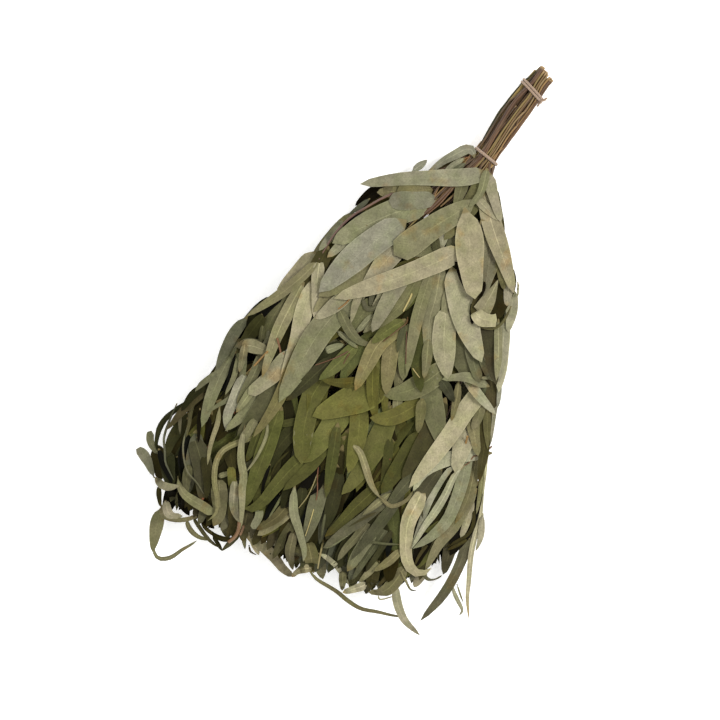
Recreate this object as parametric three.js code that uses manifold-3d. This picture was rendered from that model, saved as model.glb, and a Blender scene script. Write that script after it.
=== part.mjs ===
// Eucalyptus sauna whisk: leafy branches tied with two pieces of twine into a handle, lying flat.
// Millimetres, +Z up. +X runs from the handle to the leaf tips and +Y across the whisk.
// Positions along x start just past the lower tie, where the branches begin to spread.
import * as THREE from "three";
import { mergeVertices } from "three/addons/utils/BufferGeometryUtils.js";
import Module from "manifold-3d";

const wasm = await Module();
wasm.setup();

// Driving dimensions
const GAP = 0.3; // clearance between two pieces that touch
const STEM_ROWS = [3, 4, 5, 4, 3]; // stems side by side in the handle, from the lowest row up
const STEM_DIAMETER = 4.2; // in the handle
const STEM_TIP_DIAMETER = 1.8;
const BUTT_X = -107; // the cut ends of the stems
const BUTT_UNEVEN = 9; // how far the cut ends differ
const HANDLE_HEIGHT = 28; // of the handle's axis above the surface
const FAN_X = 0; // just past the lower tie, where the stems begin to spread
const MID_THICKNESS = 75; // of the pressed foliage, at its thickest
const TIP_THICKNESS = 42; // of the pressed foliage, at its tips
const MIDWAY_X = 262; // about where the nearer shoots end and the farther ones begin
const TIP_X = 460; // where most leaves end
const STEM_END_X = [350, 435]; // the shortest and the longest stem
const TWIG_DIAMETER = 2.2;
const LEAF_LENGTH = [88, 118];
const LEAF_WIDTH = [19, 28];
const LEAF_RIDGE = 1.4; // a leaf's thickness along its midrib
const LEAF_SPACING = 1.8; // between leaves that lie over each other on one twig
const PRESSED_SPACING = 0.42; // the same for the bottom leaves, which the whisk's weight presses flat
const TWINE_DIAMETER = 2.6;
const UPPER_TIE_X = -80;
const LOWER_TIE_X = -4.5;
const TIE_TILT = 1.6; // how far a tie runs ahead on one side of the handle
const TURN_GAP = 0.9; // between one turn of a tie and the next

const WELD = 0.004; // points nearer than this are one point

const PITCH = STEM_DIAMETER + GAP;
const ROW_PITCH = PITCH * Math.sin(Math.PI / 3);
const ROWS = STEM_ROWS.length;
const HANDLE_HALF_WIDTH = (PITCH * (Math.max(...STEM_ROWS) - 1)) / 2;
const UP = new THREE.Vector3(0, 0, 1);
const { lerp, smoothstep } = THREE.MathUtils;

const MATERIALS = {
  stem: new THREE.MeshStandardMaterial({ color: "#7a5238", roughness: 0.7, metalness: 0 }),
  leaf: new THREE.MeshStandardMaterial({ color: "#8b8e6c", roughness: 0.6, metalness: 0 }),
  twine: new THREE.MeshStandardMaterial({ color: "#b99a80", roughness: 0.9, metalness: 0 }),
};

// ---- How the whisk lies ----

// Evenly scattered values from low to high, one for each whole number.
function scatter(number, low, high) {
  const share = number * 0.618034;
  return lerp(low, high, share - Math.floor(share));
}

// The middle line: the handle bends a little to one side, and the foliage runs straight.
function axisY(x) {
  return x < 0 ? 2 - 0.1 * x + 0.0012 * x * x : 2 - 0.062 * x;
}

function axisSlope(x) {
  return x < 0 ? -0.1 + 0.0024 * x : -0.062;
}

// Half the width that the stems cover.
function stemReach(x) {
  return HANDLE_HALF_WIDTH + 128 * (1 - Math.exp(-Math.max(0, x - FAN_X) / 155));
}

// The leaves' outer edge on the left (side < 0) or the right, measured from the middle line.
function leafReach(side, x) {
  return side < 0
    ? 9 + 68 * (1 - Math.exp(-x / 45)) + 0.26 * x
    : 9 + 50 * (1 - Math.exp(-x / 60)) + 0.295 * x;
}

// A place in the fan of leaves: across runs from -1 at the left edge to 1 at the right edge.
function fanY(across, x) {
  return axisY(x) + across * leafReach(across, x);
}

function thickness(x) {
  const handle = ROWS * ROW_PITCH;
  const opening = 1 - Math.exp(-Math.max(0, x) / 60);
  const closing = smoothstep(x, 330, 490);
  return handle + (MID_THICKNESS - handle) * opening - (MID_THICKNESS - TIP_THICKNESS) * closing;
}

function undersideZ(x) {
  return (HANDLE_HEIGHT - (ROWS * ROW_PITCH) / 2) * Math.exp(-Math.max(0, x) / 35);
}

function rowZ(row, x) {
  return undersideZ(x) + ((row + 0.5) / ROWS) * thickness(x);
}

// Leaf layer 0 lies under the lowest row of stems and layer ROWS over the highest.
function layerZ(layer, x) {
  return undersideZ(x) + (layer / ROWS) * thickness(x);
}

function stemRadius(x) {
  const share = Math.max(0, x) / STEM_END_X[1];
  return lerp(STEM_DIAMETER, STEM_TIP_DIAMETER, share) / 2;
}

// ---- Closed solids bent along a path ----

const round = (radius) => (share, across, up) => [across * radius(share), up * radius(share)];

// A leaf's section: a flat underside with a ridge over it, narrow at the stalk and at the tip.
function leafSection(width) {
  const corner = Math.sin(Math.PI / 3);
  return (share, across, up) => {
    const blade = Math.sin(Math.PI * Math.pow(THREE.MathUtils.clamp((share - 0.06) / 0.94, 0, 1), 0.8));
    const half = (width / 2) * Math.max(blade, 0.07);
    const ridge = LEAF_RIDGE * Math.max(Math.sqrt(blade), 0.6);
    return [(across / corner) * half, ((up + 0.5) / 1.5) * ridge];
  };
}

// A bar with a number of sides whose axis follows the points.
function bar(points, sides, section, { up = UP, roll = 0 } = {}) {
  const steps = points.length - 1;
  const frames = points.map((point, k) => {
    const before = points[Math.max(k - 1, 0)];
    const after = points[Math.min(k + 1, steps)];
    const along = after.clone().sub(before).normalize();
    const side = along.clone().cross(up).normalize().applyAxisAngle(along, roll);
    return { point, side, normal: side.clone().cross(along) };
  });
  const geometry = new THREE.CylinderGeometry(1, 1, 1, sides, steps);
  const position = geometry.attributes.position;
  for (let i = 0; i < position.count; i++) {
    const share = position.getY(i) + 0.5;
    const { point, side, normal } = frames[Math.round(share * steps)];
    const [across, above] = section(share, position.getX(i), position.getZ(i));
    const place = point.clone().addScaledVector(side, across).addScaledVector(normal, above);
    position.setXYZ(i, place.x, place.y, place.z);
  }
  return geometry;
}

function solidOf(geometry) {
  const bare = new THREE.BufferGeometry().setAttribute("position", geometry.attributes.position);
  const merged = mergeVertices(bare.setIndex(geometry.index), 1e-4);
  return new wasm.Manifold(
    new wasm.Mesh({
      numProp: 3,
      vertProperties: new Float32Array(merged.attributes.position.array),
      triVerts: new Uint32Array(merged.index.array),
    }),
  );
}

// Points almost on each other become one, and the slivers between them go.
function welded(geometry) {
  const merged = mergeVertices(geometry, WELD);
  const corners = Array.from(merged.index.array);
  const kept = corners.filter((corner, i) => {
    const [a, b, c] = corners.slice(i - (i % 3), i - (i % 3) + 3);
    return a !== b && b !== c && c !== a;
  });
  return merged.setIndex(kept);
}

// Geometries that overlap become one closed body.
function joined(geometries) {
  const { vertProperties, triVerts } = geometries
    .map(solidOf)
    .reduce((whole, solid) => whole.add(solid))
    .getMesh();
  const geometry = new THREE.BufferGeometry()
    .setAttribute("position", new THREE.BufferAttribute(vertProperties, 3))
    .setIndex(new THREE.BufferAttribute(triVerts, 1));
  return welded(geometry);
}

function piece(name, material, geometries) {
  const geometry = joined(geometries);
  geometry.computeVertexNormals();
  const mesh = new THREE.Mesh(geometry, material);
  mesh.name = name;
  return mesh;
}

// ---- Stems: cut branches, packed as a hexagon in the handle and fanned out past the lower tie ----

const STEM_STATIONS = [-90, -72, -46, -24, -10, FAN_X, 13, 30, 52, 76, 98, 122, 150, 200, 260, 330];

function stemPoint(row, column, x) {
  const across = (column - (STEM_ROWS[row] - 1) / 2) * PITCH;
  const z = rowZ(row, x);
  if (x <= FAN_X) {
    const slope = axisSlope(x);
    const length = Math.hypot(slope, 1);
    return new THREE.Vector3(x - (slope * across) / length, axisY(x) + across / length, z);
  }
  // Short rows widen until they cover nearly as much as the widest row.
  const outermost = ((STEM_ROWS[row] - 1) / 2) * PITCH;
  const widening = lerp(1, (0.95 * HANDLE_HALF_WIDTH) / outermost, smoothstep(x, 30, 150));
  const share = (across / HANDLE_HALF_WIDTH) * (outermost < HANDLE_HALF_WIDTH ? widening : 1);
  return new THREE.Vector3(x, axisY(x) + share * stemReach(x), z);
}

function stems() {
  const made = [];
  STEM_ROWS.forEach((count, row) => {
    for (let column = 0; column < count; column++) {
      const number = made.length + 1;
      const butt = BUTT_X + scatter(number, 0, BUTT_UNEVEN);
      const end = scatter(number * 3, ...STEM_END_X);
      const stations = [butt, ...STEM_STATIONS, end];
      const points = stations.map((x) => stemPoint(row, column, x));
      const radius = (share) => stemRadius(stations[Math.round(share * (stations.length - 1))]);
      const name = `stem_${String(number).padStart(2, "0")}`;
      made.push(piece(name, MATERIALS.stem, [bar(points, 5, round(radius))]));
    }
  });
  return made;
}

// ---- Leafy shoots: side twigs with their leaves, each in its own part of one leaf layer ----

const LEAF_STEPS = 4;

// Each shoot keeps between two edges across the fan and runs from a start to its own end along x.
function shootPlan() {
  const plan = [];
  const add = (layer, leaves, start, edges, ends) => {
    ends.forEach((end, i) => {
      // On the open top, every second shoot starts earlier and lies over its neighbours.
      const over = layer === ROWS && i % 2 === 1;
      const place = { start: over ? start - 16 : start, end, from: edges[i], to: edges[i + 1] };
      plan.push({ layer, leaves, lift: over ? 4.2 : 0, ...place });
    });
  };
  add(0, 6, 84, [-0.96, 0, 0.96], [MIDWAY_X, MIDWAY_X]);
  add(0, 6, MIDWAY_X, [-1, -0.34, 0.34, 1], [TIP_X - 6, TIP_X + 12, TIP_X - 20]);
  for (let layer = 1; layer < ROWS; layer++) {
    const middle = scatter(layer, -0.22, 0.22);
    const midway = layer % 2 ? MIDWAY_X + 44 : MIDWAY_X - 56;
    const short = scatter(layer * 2, 0, 18);
    add(layer, 5, 56, [-1, middle, 1], [midway, midway]);
    add(layer, 5, midway, [-1, -middle, 1], [TIP_X - short, TIP_X - 18 + short]);
  }
  add(ROWS, 5, 122, [-1, -0.5, 0, 0.5, 1], Array(4).fill(MIDWAY_X - 20));
  const topEnds = [32, -10, 0, 6, -16].map((past) => TIP_X + past);
  add(ROWS, 6, MIDWAY_X, [-1, -0.6, -0.2, 0.2, 0.6, 1], topEnds);
  return plan;
}

// The stem of a row that passes nearest to a place.
function nearestStem(row, x, y) {
  const columns = [...Array(STEM_ROWS[row]).keys()];
  const away = (column) => Math.abs(stemPoint(row, column, x).y - y);
  return columns.sort((a, b) => away(a) - away(b))[0];
}

// One leaf from its stalk to its tip, on the height that its layer has along the way.
function shootLeaf({ layer, lift }, root, tip, number, place) {
  const middle = root.clone().add(tip).multiplyScalar(0.5);
  const bend = scatter(number * 7, -0.06, 0.06);
  middle.x -= (tip.y - root.y) * bend;
  middle.y += (tip.x - root.x) * bend;
  const plan = new THREE.QuadraticBezierCurve3(root, middle, tip);
  const bottom = layer === 0;
  const spread = LEAF_SPACING * ((place % 3) - 1) + (layer === ROWS ? 1.6 : 0);
  const over = bottom ? PRESSED_SPACING * ((place + 4) % 6) : lift + spread;
  const points = plan.getPoints(LEAF_STEPS).map((point, k) => {
    const settled = Math.min(1, (k / LEAF_STEPS) * 3);
    const free = Math.min(1, thickness(point.x) / MID_THICKNESS);
    const rest = bottom ? over : layerZ(layer, point.x) + over * free;
    return point.setZ(lerp(root.z, rest, settled));
  });
  const roll = bottom ? 0 : scatter(number * 11, -0.1, 0.1);
  return bar(points, 3, leafSection(scatter(number * 2, ...LEAF_WIDTH)), { roll });
}

function leafyShoot(plan, number) {
  const { layer, start, end, from, to, leaves, lift } = plan;
  const middle = (from + to) / 2;
  const row = Math.max(0, layer - 1);
  const side = layer === 0 ? -1 : 1; // the bottom shoots hang under their stems
  const root = stemPoint(row, nearestStem(row, start, fanY(middle, start)), start);
  root.z += side * (stemRadius(start) + GAP + TWIG_DIAMETER / 2);

  const twigZ = (x) => (layer === 0 ? TWIG_DIAMETER / 2 : layerZ(layer, x) + lift);
  const twigEnd = end - 0.92 * LEAF_LENGTH[1];
  const twigPoint = (share) => {
    const x = lerp(start, twigEnd, share);
    const y = fanY(middle, x) + (root.y - fanY(middle, start)) * (1 - share) ** 2;
    const z = lerp(twigZ(x), root.z + twigZ(x) - twigZ(start), (1 - share) ** 5);
    return new THREE.Vector3(x, y, layer === 0 ? Math.max(z, TWIG_DIAMETER / 2) : z);
  };
  const radius = (share) => lerp(TWIG_DIAMETER, 0.7 * TWIG_DIAMETER, share) / 2;
  const roots = [...Array(leaves).keys()].map((i) => twigPoint(lerp(0.1, 1, i / (leaves - 1))));
  const parts = [bar([root, ...roots], 4, round(radius))];

  roots.forEach((root, i) => {
    const seed = number * 19 + i;
    const length = scatter(seed, ...LEAF_LENGTH);
    const turn = i % 2 ? 1 : -1;
    const last = i === leaves - 1;
    const lean = last ? 0.08 : scatter(seed * 3, 0.42, 0.8);
    const x = Math.min(root.x + length * Math.cos(lean), end);
    const room = ((to - from) / 2) * leafReach(middle, x);
    const aside = Math.min(length * Math.sin(lean), (layer === ROWS && !lift ? 0.8 : 0.94) * room);
    parts.push(shootLeaf(plan, root, new THREE.Vector3(x, fanY(middle, x) + turn * aside, 0), seed, i));
  });
  const name = `leafy_shoot_${String(number).padStart(2, "0")}`;
  return piece(name, MATERIALS.leaf, parts);
}

// ---- Loose leaves at the handle and the neck ----

// The leaves that lie over the neck, as [width, roll, ...route from stalk to tip]. A point of a route
// is [x, y, height over the top row of stems].
const NECK_LEAVES = {
  long: [15, 0.25, [17, 9, 0.6], [26, -13, 1], [39, -42, 2], [52, -70, 2], [70, -100, 1]],
  tan: [16, 0.2, [50, -17, 0.5], [54, -34, 2], [61, -52, 3], [69, -69, 2], [77, -86, 1]],
  left: [18, 0, [58, -28, 0.6], [74, -47, 0.8], [90, -64, 0.8], [105, -80, 0.8], [118, -94, 0.6]],
  centre: [24, 0, [46, 3, 0.4], [66, -4, 2.2], [88, -14, 2], [108, -27, 2], [126, -40, 2]],
  bright: [24, 0, [62, -1, 0.4], [79, 12, 0.6], [98, 25, 0.6], [118, 36, 0.6], [138, 48, 0.6]],
  right: [17, 0, [13, 12, 0.4], [36, 30, 3], [60, 48, 3], [88, 64, 2], [114, 78, 1]],
};

function neckLeaves() {
  return Object.entries(NECK_LEAVES).map(([name, [width, roll, ...route]]) => {
    const path = route.map(([x, y, over]) => {
      return new THREE.Vector3(x, y, rowZ(ROWS - 1, x) + stemRadius(x) + over);
    });
    const blade = bar(path, 3, leafSection(width), { roll });
    return piece(`neck_leaf_${name}`, MATERIALS.leaf, [blade]);
  });
}

// The hexagonal handle's upper left side, where one leaf lies flat under both ties.
const SIDE_ANGLE = (150 * Math.PI) / 180;
const SIDE_OUT = HANDLE_HALF_WIDTH * Math.cos(Math.PI / 6) + STEM_DIAMETER / 2 + GAP;
const HANDLE_LEAF_WIDTH = 9;
const HANDLE_LEAF_RIDGE = 1.2;

// A place in the handle: x along its axis, then across and up from the axis.
function handlePoint(x, across, above) {
  const slope = axisSlope(x);
  const length = Math.hypot(slope, 1);
  const y = axisY(x) + across / length;
  return new THREE.Vector3(x - (slope * across) / length, y, HANDLE_HEIGHT + above);
}

function handleLeaf() {
  const outward = [Math.cos(SIDE_ANGLE), Math.sin(SIDE_ANGLE)];
  const path = [-107, ...STEM_STATIONS.filter((x) => x < FAN_X), -1].map((x) => {
    return handlePoint(x, SIDE_OUT * outward[0], SIDE_OUT * outward[1]);
  });
  const corner = Math.sin(Math.PI / 3);
  const section = (share, across, up) => {
    const blade = Math.max(0.1, Math.sin(Math.PI * Math.pow(share, 0.7)));
    const half = (HANDLE_LEAF_WIDTH / 2) * blade;
    return [(across / corner) * half, ((up + 0.5) / 1.5) * HANDLE_LEAF_RIDGE];
  };
  const up = new THREE.Vector3(0, ...outward);
  return piece("handle_leaf", MATERIALS.leaf, [bar(path, 3, section, { up })]);
}

// ---- Ties: twine wound tightly round the stems and the handle leaf ----

// What a tie goes round, as circles across and up from the handle's axis.
function boundPieces() {
  const circles = [];
  STEM_ROWS.forEach((count, row) => {
    for (let column = 0; column < count; column++) {
      const across = (column - (count - 1) / 2) * PITCH;
      circles.push([across, (row - (ROWS - 1) / 2) * ROW_PITCH, STEM_DIAMETER / 2]);
    }
  });
  const [outX, outY] = [Math.cos(SIDE_ANGLE), Math.sin(SIDE_ANGLE)];
  for (const [out, along] of [[0, -0.5], [0, 0.5], [HANDLE_LEAF_RIDGE, 0]]) {
    const away = SIDE_OUT + out;
    const aside = along * HANDLE_LEAF_WIDTH;
    circles.push([away * outX - aside * outY, away * outY + aside * outX, 0]);
  }
  return circles;
}

// The twine's centre line where it leaves the bundle at an angle round the handle.
function twinePoint(x, angle) {
  const [outX, outY] = [Math.cos(angle), Math.sin(angle)];
  const reach = ([across, above]) => across * outX + above * outY;
  const outermost = boundPieces().sort((a, b) => reach(b) + b[2] - reach(a) - a[2])[0];
  const away = outermost[2] + GAP + TWINE_DIAMETER / 2;
  const shift = TIE_TILT * outX;
  return handlePoint(x + shift, outermost[0] + away * outX, outermost[1] + away * outY);
}

// The turns start and end in a knot at one angle, and two cut tails come out of it.
function tie(name, { x, turns, knotAngle, tails }) {
  const steps = 24 * turns;
  const advance = (turns - 1) * (TWINE_DIAMETER + TURN_GAP);
  const turnPoints = [];
  for (let k = 0; k <= steps; k++) {
    const share = k / steps;
    const angle = knotAngle + 2 * Math.PI * turns * share;
    turnPoints.push(twinePoint(x + advance * (share - 0.5), angle));
  }
  const twine = round(() => TWINE_DIAMETER / 2);
  const along = new THREE.Vector3(1, axisSlope(x), 0).normalize();
  const outward = new THREE.Vector3(0, Math.cos(knotAngle), Math.sin(knotAngle));
  const knotPlace = twinePoint(x, knotAngle).addScaledVector(outward, 1.1);
  const knot = new THREE.SphereGeometry(1, 10, 7)
    .scale(advance / 2 + 1.1 * TWINE_DIAMETER, 0.85 * TWINE_DIAMETER, 0.85 * TWINE_DIAMETER)
    .translate(knotPlace.x, knotPlace.y, knotPlace.z);
  const tailBars = tails.map(([dx, dy, dz]) => {
    const end = knotPlace.clone().add(new THREE.Vector3(dx, dy, dz));
    const middle = knotPlace.clone().lerp(end, 0.5).add(new THREE.Vector3(0, 0, 0.8));
    return bar([knotPlace, middle, end], 6, twine);
  });
  return piece(name, MATERIALS.twine, [bar(turnPoints, 6, twine, { up: along }), knot, ...tailBars]);
}

// ---- The whisk ----

const whisk = new THREE.Group();
whisk.add(...stems());
shootPlan().forEach((plan, i) => whisk.add(leafyShoot(plan, i + 1)));
whisk.add(
  handleLeaf(),
  ...neckLeaves(),
  tie("upper_tie", { x: UPPER_TIE_X, turns: 2, knotAngle: 0.25, tails: [[-8, 8, -1], [7, 4, -2]] }),
  tie("lower_tie", { x: LOWER_TIE_X, turns: 1, knotAngle: -0.9, tails: [[5, 4, -4], [-4, 6, -4]] }),
);

// The origin is the middle of the footprint, on the surface that the whisk lies on.
const box = new THREE.Box3().setFromObject(whisk);
const centre = box.getCenter(new THREE.Vector3());
whisk.position.set(-centre.x, -centre.y, -box.min.z);

export default whisk;
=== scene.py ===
"""Eucalyptus sauna whisk, lying flat: dried leafy branches tied twice with twine into a handle.

+X runs from the handle to the leaf tips, +Y across the whisk to its right and +Z up. Right and left are
as seen from above with the handle at the top, near is at the handle and far is at the leaf tips. The
layout is worked out in millimetres from a point just past the lower tie, where the branches spread.
"""

import itertools
import math
from collections import namedtuple

import bpy
import numpy as np
from mathutils import Matrix, Vector


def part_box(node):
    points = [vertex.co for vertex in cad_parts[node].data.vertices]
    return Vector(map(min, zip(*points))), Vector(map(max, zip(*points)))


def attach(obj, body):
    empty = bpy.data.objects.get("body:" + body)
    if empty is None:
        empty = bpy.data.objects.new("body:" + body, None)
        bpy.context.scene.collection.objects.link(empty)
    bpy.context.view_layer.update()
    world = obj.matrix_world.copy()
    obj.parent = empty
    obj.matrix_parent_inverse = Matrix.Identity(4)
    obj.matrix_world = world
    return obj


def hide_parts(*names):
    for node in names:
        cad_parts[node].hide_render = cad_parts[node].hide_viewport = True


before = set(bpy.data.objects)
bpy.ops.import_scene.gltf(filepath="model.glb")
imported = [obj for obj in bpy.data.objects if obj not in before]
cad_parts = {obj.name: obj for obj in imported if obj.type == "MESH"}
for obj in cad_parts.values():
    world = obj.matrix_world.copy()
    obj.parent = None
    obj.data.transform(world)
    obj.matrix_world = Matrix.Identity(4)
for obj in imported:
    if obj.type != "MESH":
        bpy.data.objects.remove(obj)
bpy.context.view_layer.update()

# ---- Stems ----
# The whisk is made of cut eucalyptus branches about as long as a forearm. Their leaves are stripped off
# the lowest part, which is packed round into a handle, and they splay out past the lower tie.

STEM_ROWS = [3, 4, 5, 4, 3]  # how many stems lie in each row of the handle, from the lowest up
STEM_DIAMETER, STEM_TIP_DIAMETER = 4.2, 1.8
GAP = 0.3  # between neighbouring stems
BUTT_X, BUTT_UNEVEN = -104, 7  # where the cut ends lie, and how far they differ
STEM_END_X = (350, 435)
HANDLE_HEIGHT = 28  # of the handle's middle line over the table
HANDLE_OFFSET, HANDLE_SLOPE, HANDLE_BEND = 2, -0.1, 0.0012
FOLIAGE_SLOPE = -0.062
FOLIAGE_THICKNESS = 75
PITCH = STEM_DIAMETER + GAP
ROW_PITCH = PITCH * math.sin(math.pi / 3)
ROWS = len(STEM_ROWS)
HANDLE_HALF_WIDTH = PITCH * (max(STEM_ROWS) - 1) / 2
HANDLE_THICKNESS = (ROWS - 1) * ROW_PITCH + STEM_DIAMETER
GOLDEN_SHARE = 0.618034  # of a whole, by which each next scattered value is further on


def lerp(a, b, share):
    return a + (b - a) * share


def smoothstep(x, low, high):
    t = np.clip((x - low) / (high - low), 0, 1)
    return t * t * (3 - 2 * t)


def scatter(number, low, high):
    """Evenly scattered values from low to high, one for each whole number."""
    return lerp(low, high, number * GOLDEN_SHARE % 1)


def grown(x, full, over):
    """A size that grows past the lower tie, quickly at first, towards its full value."""
    return full * (1 - np.exp(-np.maximum(0, x) / over))


def axis_y(x):
    """The middle line: the handle bends a little to one side, and the foliage runs straight."""
    handle = HANDLE_OFFSET + HANDLE_SLOPE * x + HANDLE_BEND * x * x
    return np.where(np.less(x, 0), handle, HANDLE_OFFSET + FOLIAGE_SLOPE * x)


def stem_reach(x):
    """How far the outermost stems lie from the middle line."""
    return 9 + grown(x, 128, 155)


def leaf_reach(side, x):
    """How far the foliage reaches from the middle line, a little more to the right than to the left."""
    left, right = 9 + grown(x, 68, 45) + 0.26 * x, 9 + grown(x, 50, 60) + 0.295 * x
    return np.where(np.less(side, 0), left, right)


def fan_y(across, x):
    """The place across the fan, from -1 at its left edge to 1 at its right one."""
    return axis_y(x) + across * leaf_reach(across, x)


def thickness(x):
    return HANDLE_THICKNESS + grown(x, FOLIAGE_THICKNESS - HANDLE_THICKNESS, 60)


def underside_z(x):
    return (HANDLE_HEIGHT - HANDLE_THICKNESS / 2) * np.exp(-np.maximum(0, x) / 35)


def row_z(row, x):
    return underside_z(x) + (row + 0.5) / ROWS * thickness(x)


def stem_radius(x):
    return lerp(STEM_DIAMETER, STEM_TIP_DIAMETER, max(0, x) / STEM_END_X[1]) / 2


def handle_point(x, across, z):
    """A place in the handle, square across its bent middle line."""
    slope = HANDLE_SLOPE + 2 * HANDLE_BEND * x
    length = math.hypot(slope, 1)
    return np.array([x - slope * across / length, axis_y(x) + across / length, z])


def stem_point(row, column, x):
    """A place on a stem's middle line: side by side in the handle, fanned out past the lower tie."""
    across = (column - (STEM_ROWS[row] - 1) / 2) * PITCH
    if x <= 0:
        return handle_point(x, across, row_z(row, x))
    outermost = (STEM_ROWS[row] - 1) / 2 * PITCH
    widening = lerp(1, 0.95 * HANDLE_HALF_WIDTH / outermost, smoothstep(x, 30, 150))
    share = across / HANDLE_HALF_WIDTH * (widening if outermost < HANDLE_HALF_WIDTH else 1)
    return np.array([x, axis_y(x) + share * stem_reach(x), row_z(row, x)])


def surface_z(x, y, share=1.0):
    """The foliage's height: full along the middle, lower at its sides and at the leaf tips."""
    x = np.maximum(x, 0)
    off = y - axis_y(x)
    across = np.abs(off) / leaf_reach(off, x)
    crown = np.maximum(0.14, 1 - 0.6 * np.clip(across, 0, 1.2) ** 3.2)
    ends = 1 - 0.62 * np.clip((x - 380) / 90, 0, 1) ** 1.5
    return underside_z(x) + share * thickness(x) * crown * ends


# The part's origin is under the middle of the whole whisk. The middle stem's end, which is known both
# here and in the frame, gives the shift from the one to the other.
stem_low, stem_high = (Vector(corner) * 1000 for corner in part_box("stem_10"))
MIDDLE_END = scatter(30, *STEM_END_X)
MIDDLE_LOW_Y = axis_y(MIDDLE_END) - stem_radius(MIDDLE_END)
ORIGIN = np.array([stem_high.x - MIDDLE_END, stem_low.y - MIDDLE_LOW_Y, 0])


def srgb(colour):
    """A hex colour as the linear values that shaders take."""
    parts = [int(colour[k : k + 2], 16) / 255 for k in (1, 3, 5)]
    return [c / 12.92 if c <= 0.04045 else ((c + 0.055) / 1.055) ** 2.4 for c in parts] + [1]


def add(tree, kind, links=(), **settings):
    """Adds a node with its settings. Each of its inputs is given a value or linked to a socket."""
    node = tree.nodes.new(kind)
    for name, value in settings.items():
        setattr(node, name, value)
    for name, value in dict(links).items():
        socket = node.inputs[name]
        if isinstance(value, bpy.types.NodeSocket):
            tree.links.new(value, socket)
        else:
            socket.default_value = value
    return node


def new_material(name):
    material = bpy.data.materials.new(name)
    material.use_nodes = True
    material.node_tree.nodes.clear()
    return material, material.node_tree


def ramp(tree, factor, *stops):
    """A colour ramp through (place, hex colour) stops."""
    node = add(tree, "ShaderNodeValToRGB", {"Fac": factor})
    while len(node.color_ramp.elements) < len(stops):
        node.color_ramp.elements.new(0.5)
    for element, (place, colour) in zip(node.color_ramp.elements, stops):
        element.position, element.color = place, srgb(colour)
    return node.outputs["Color"]


def maths(tree, operation, *values, clamp=False):
    links = dict(enumerate(values))
    return add(tree, "ShaderNodeMath", links, operation=operation, use_clamp=clamp).outputs[0]


def blend_colours(tree, factor, a, b, mode="MIX"):
    links = {"Factor": factor, 6: a, 7: b}
    return add(tree, "ShaderNodeMix", links, data_type="RGBA", blend_type=mode).outputs[2]


def attribute(tree, name, output="Fac"):
    return add(tree, "ShaderNodeAttribute", attribute_name=name).outputs[output]


# Eucalyptus bark on thin branches, dried: a satin skin from olive yellow to red brown with lengthwise
# wrinkles, and raw, pale, fibrous wood where the secateurs cut. The real wrinkles are a tenth of a
# millimetre wide, and are drawn about a millimetre wide and 15 mm long so that they show.
bark, tree = new_material("dried_eucalyptus_bark")
own_place = maths(tree, "MULTIPLY", attribute(tree, "seed"), 40)
place = add(tree, "ShaderNodeCombineXYZ", {
    "X": maths(tree, "MULTIPLY_ADD", attribute(tree, "run"), 60, own_place),
    "Y": maths(tree, "MULTIPLY", attribute(tree, "side"), 2.6),
    "Z": maths(tree, "MULTIPLY", attribute(tree, "top"), 2.6),
}).outputs[0]
streaks = add(tree, "ShaderNodeTexNoise", {"Vector": place, "Scale": 1, "Detail": 4, "Roughness": 0.6})
patches = add(tree, "ShaderNodeTexNoise", {
    "Vector": add(tree, "ShaderNodeTexCoord").outputs["Object"], "Scale": 45, "Detail": 3,
})
skin = blend_colours(
    tree,
    maths(tree, "MULTIPLY", patches.outputs["Fac"], 0.55),
    attribute(tree, "tone", "Color"),
    ramp(tree, streaks.outputs["Fac"], (0.3, "#2A1A0E"), (0.5, "#6C4E2A"), (0.72, "#9C7844")),
)
cut_wood = ramp(tree, streaks.outputs["Fac"], (0.3, "#8A6C46"), (0.7, "#B89C6E"))
colour = blend_colours(tree, attribute(tree, "cut"), skin, cut_wood)
bump = add(tree, "ShaderNodeBump", {"Height": streaks.outputs["Fac"], "Strength": 0.5, "Distance": 0.0004})
shader = add(tree, "ShaderNodeBsdfPrincipled", {
    "Base Color": colour, "Normal": bump.outputs[0], "IOR": 1.45,
    "Roughness": add(tree, "ShaderNodeMapRange", {
        "Value": streaks.outputs["Fac"], "To Min": 0.42, "To Max": 0.7,
    }).outputs[0],
})
add(tree, "ShaderNodeOutputMaterial", {"Surface": shader.outputs[0]})


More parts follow.
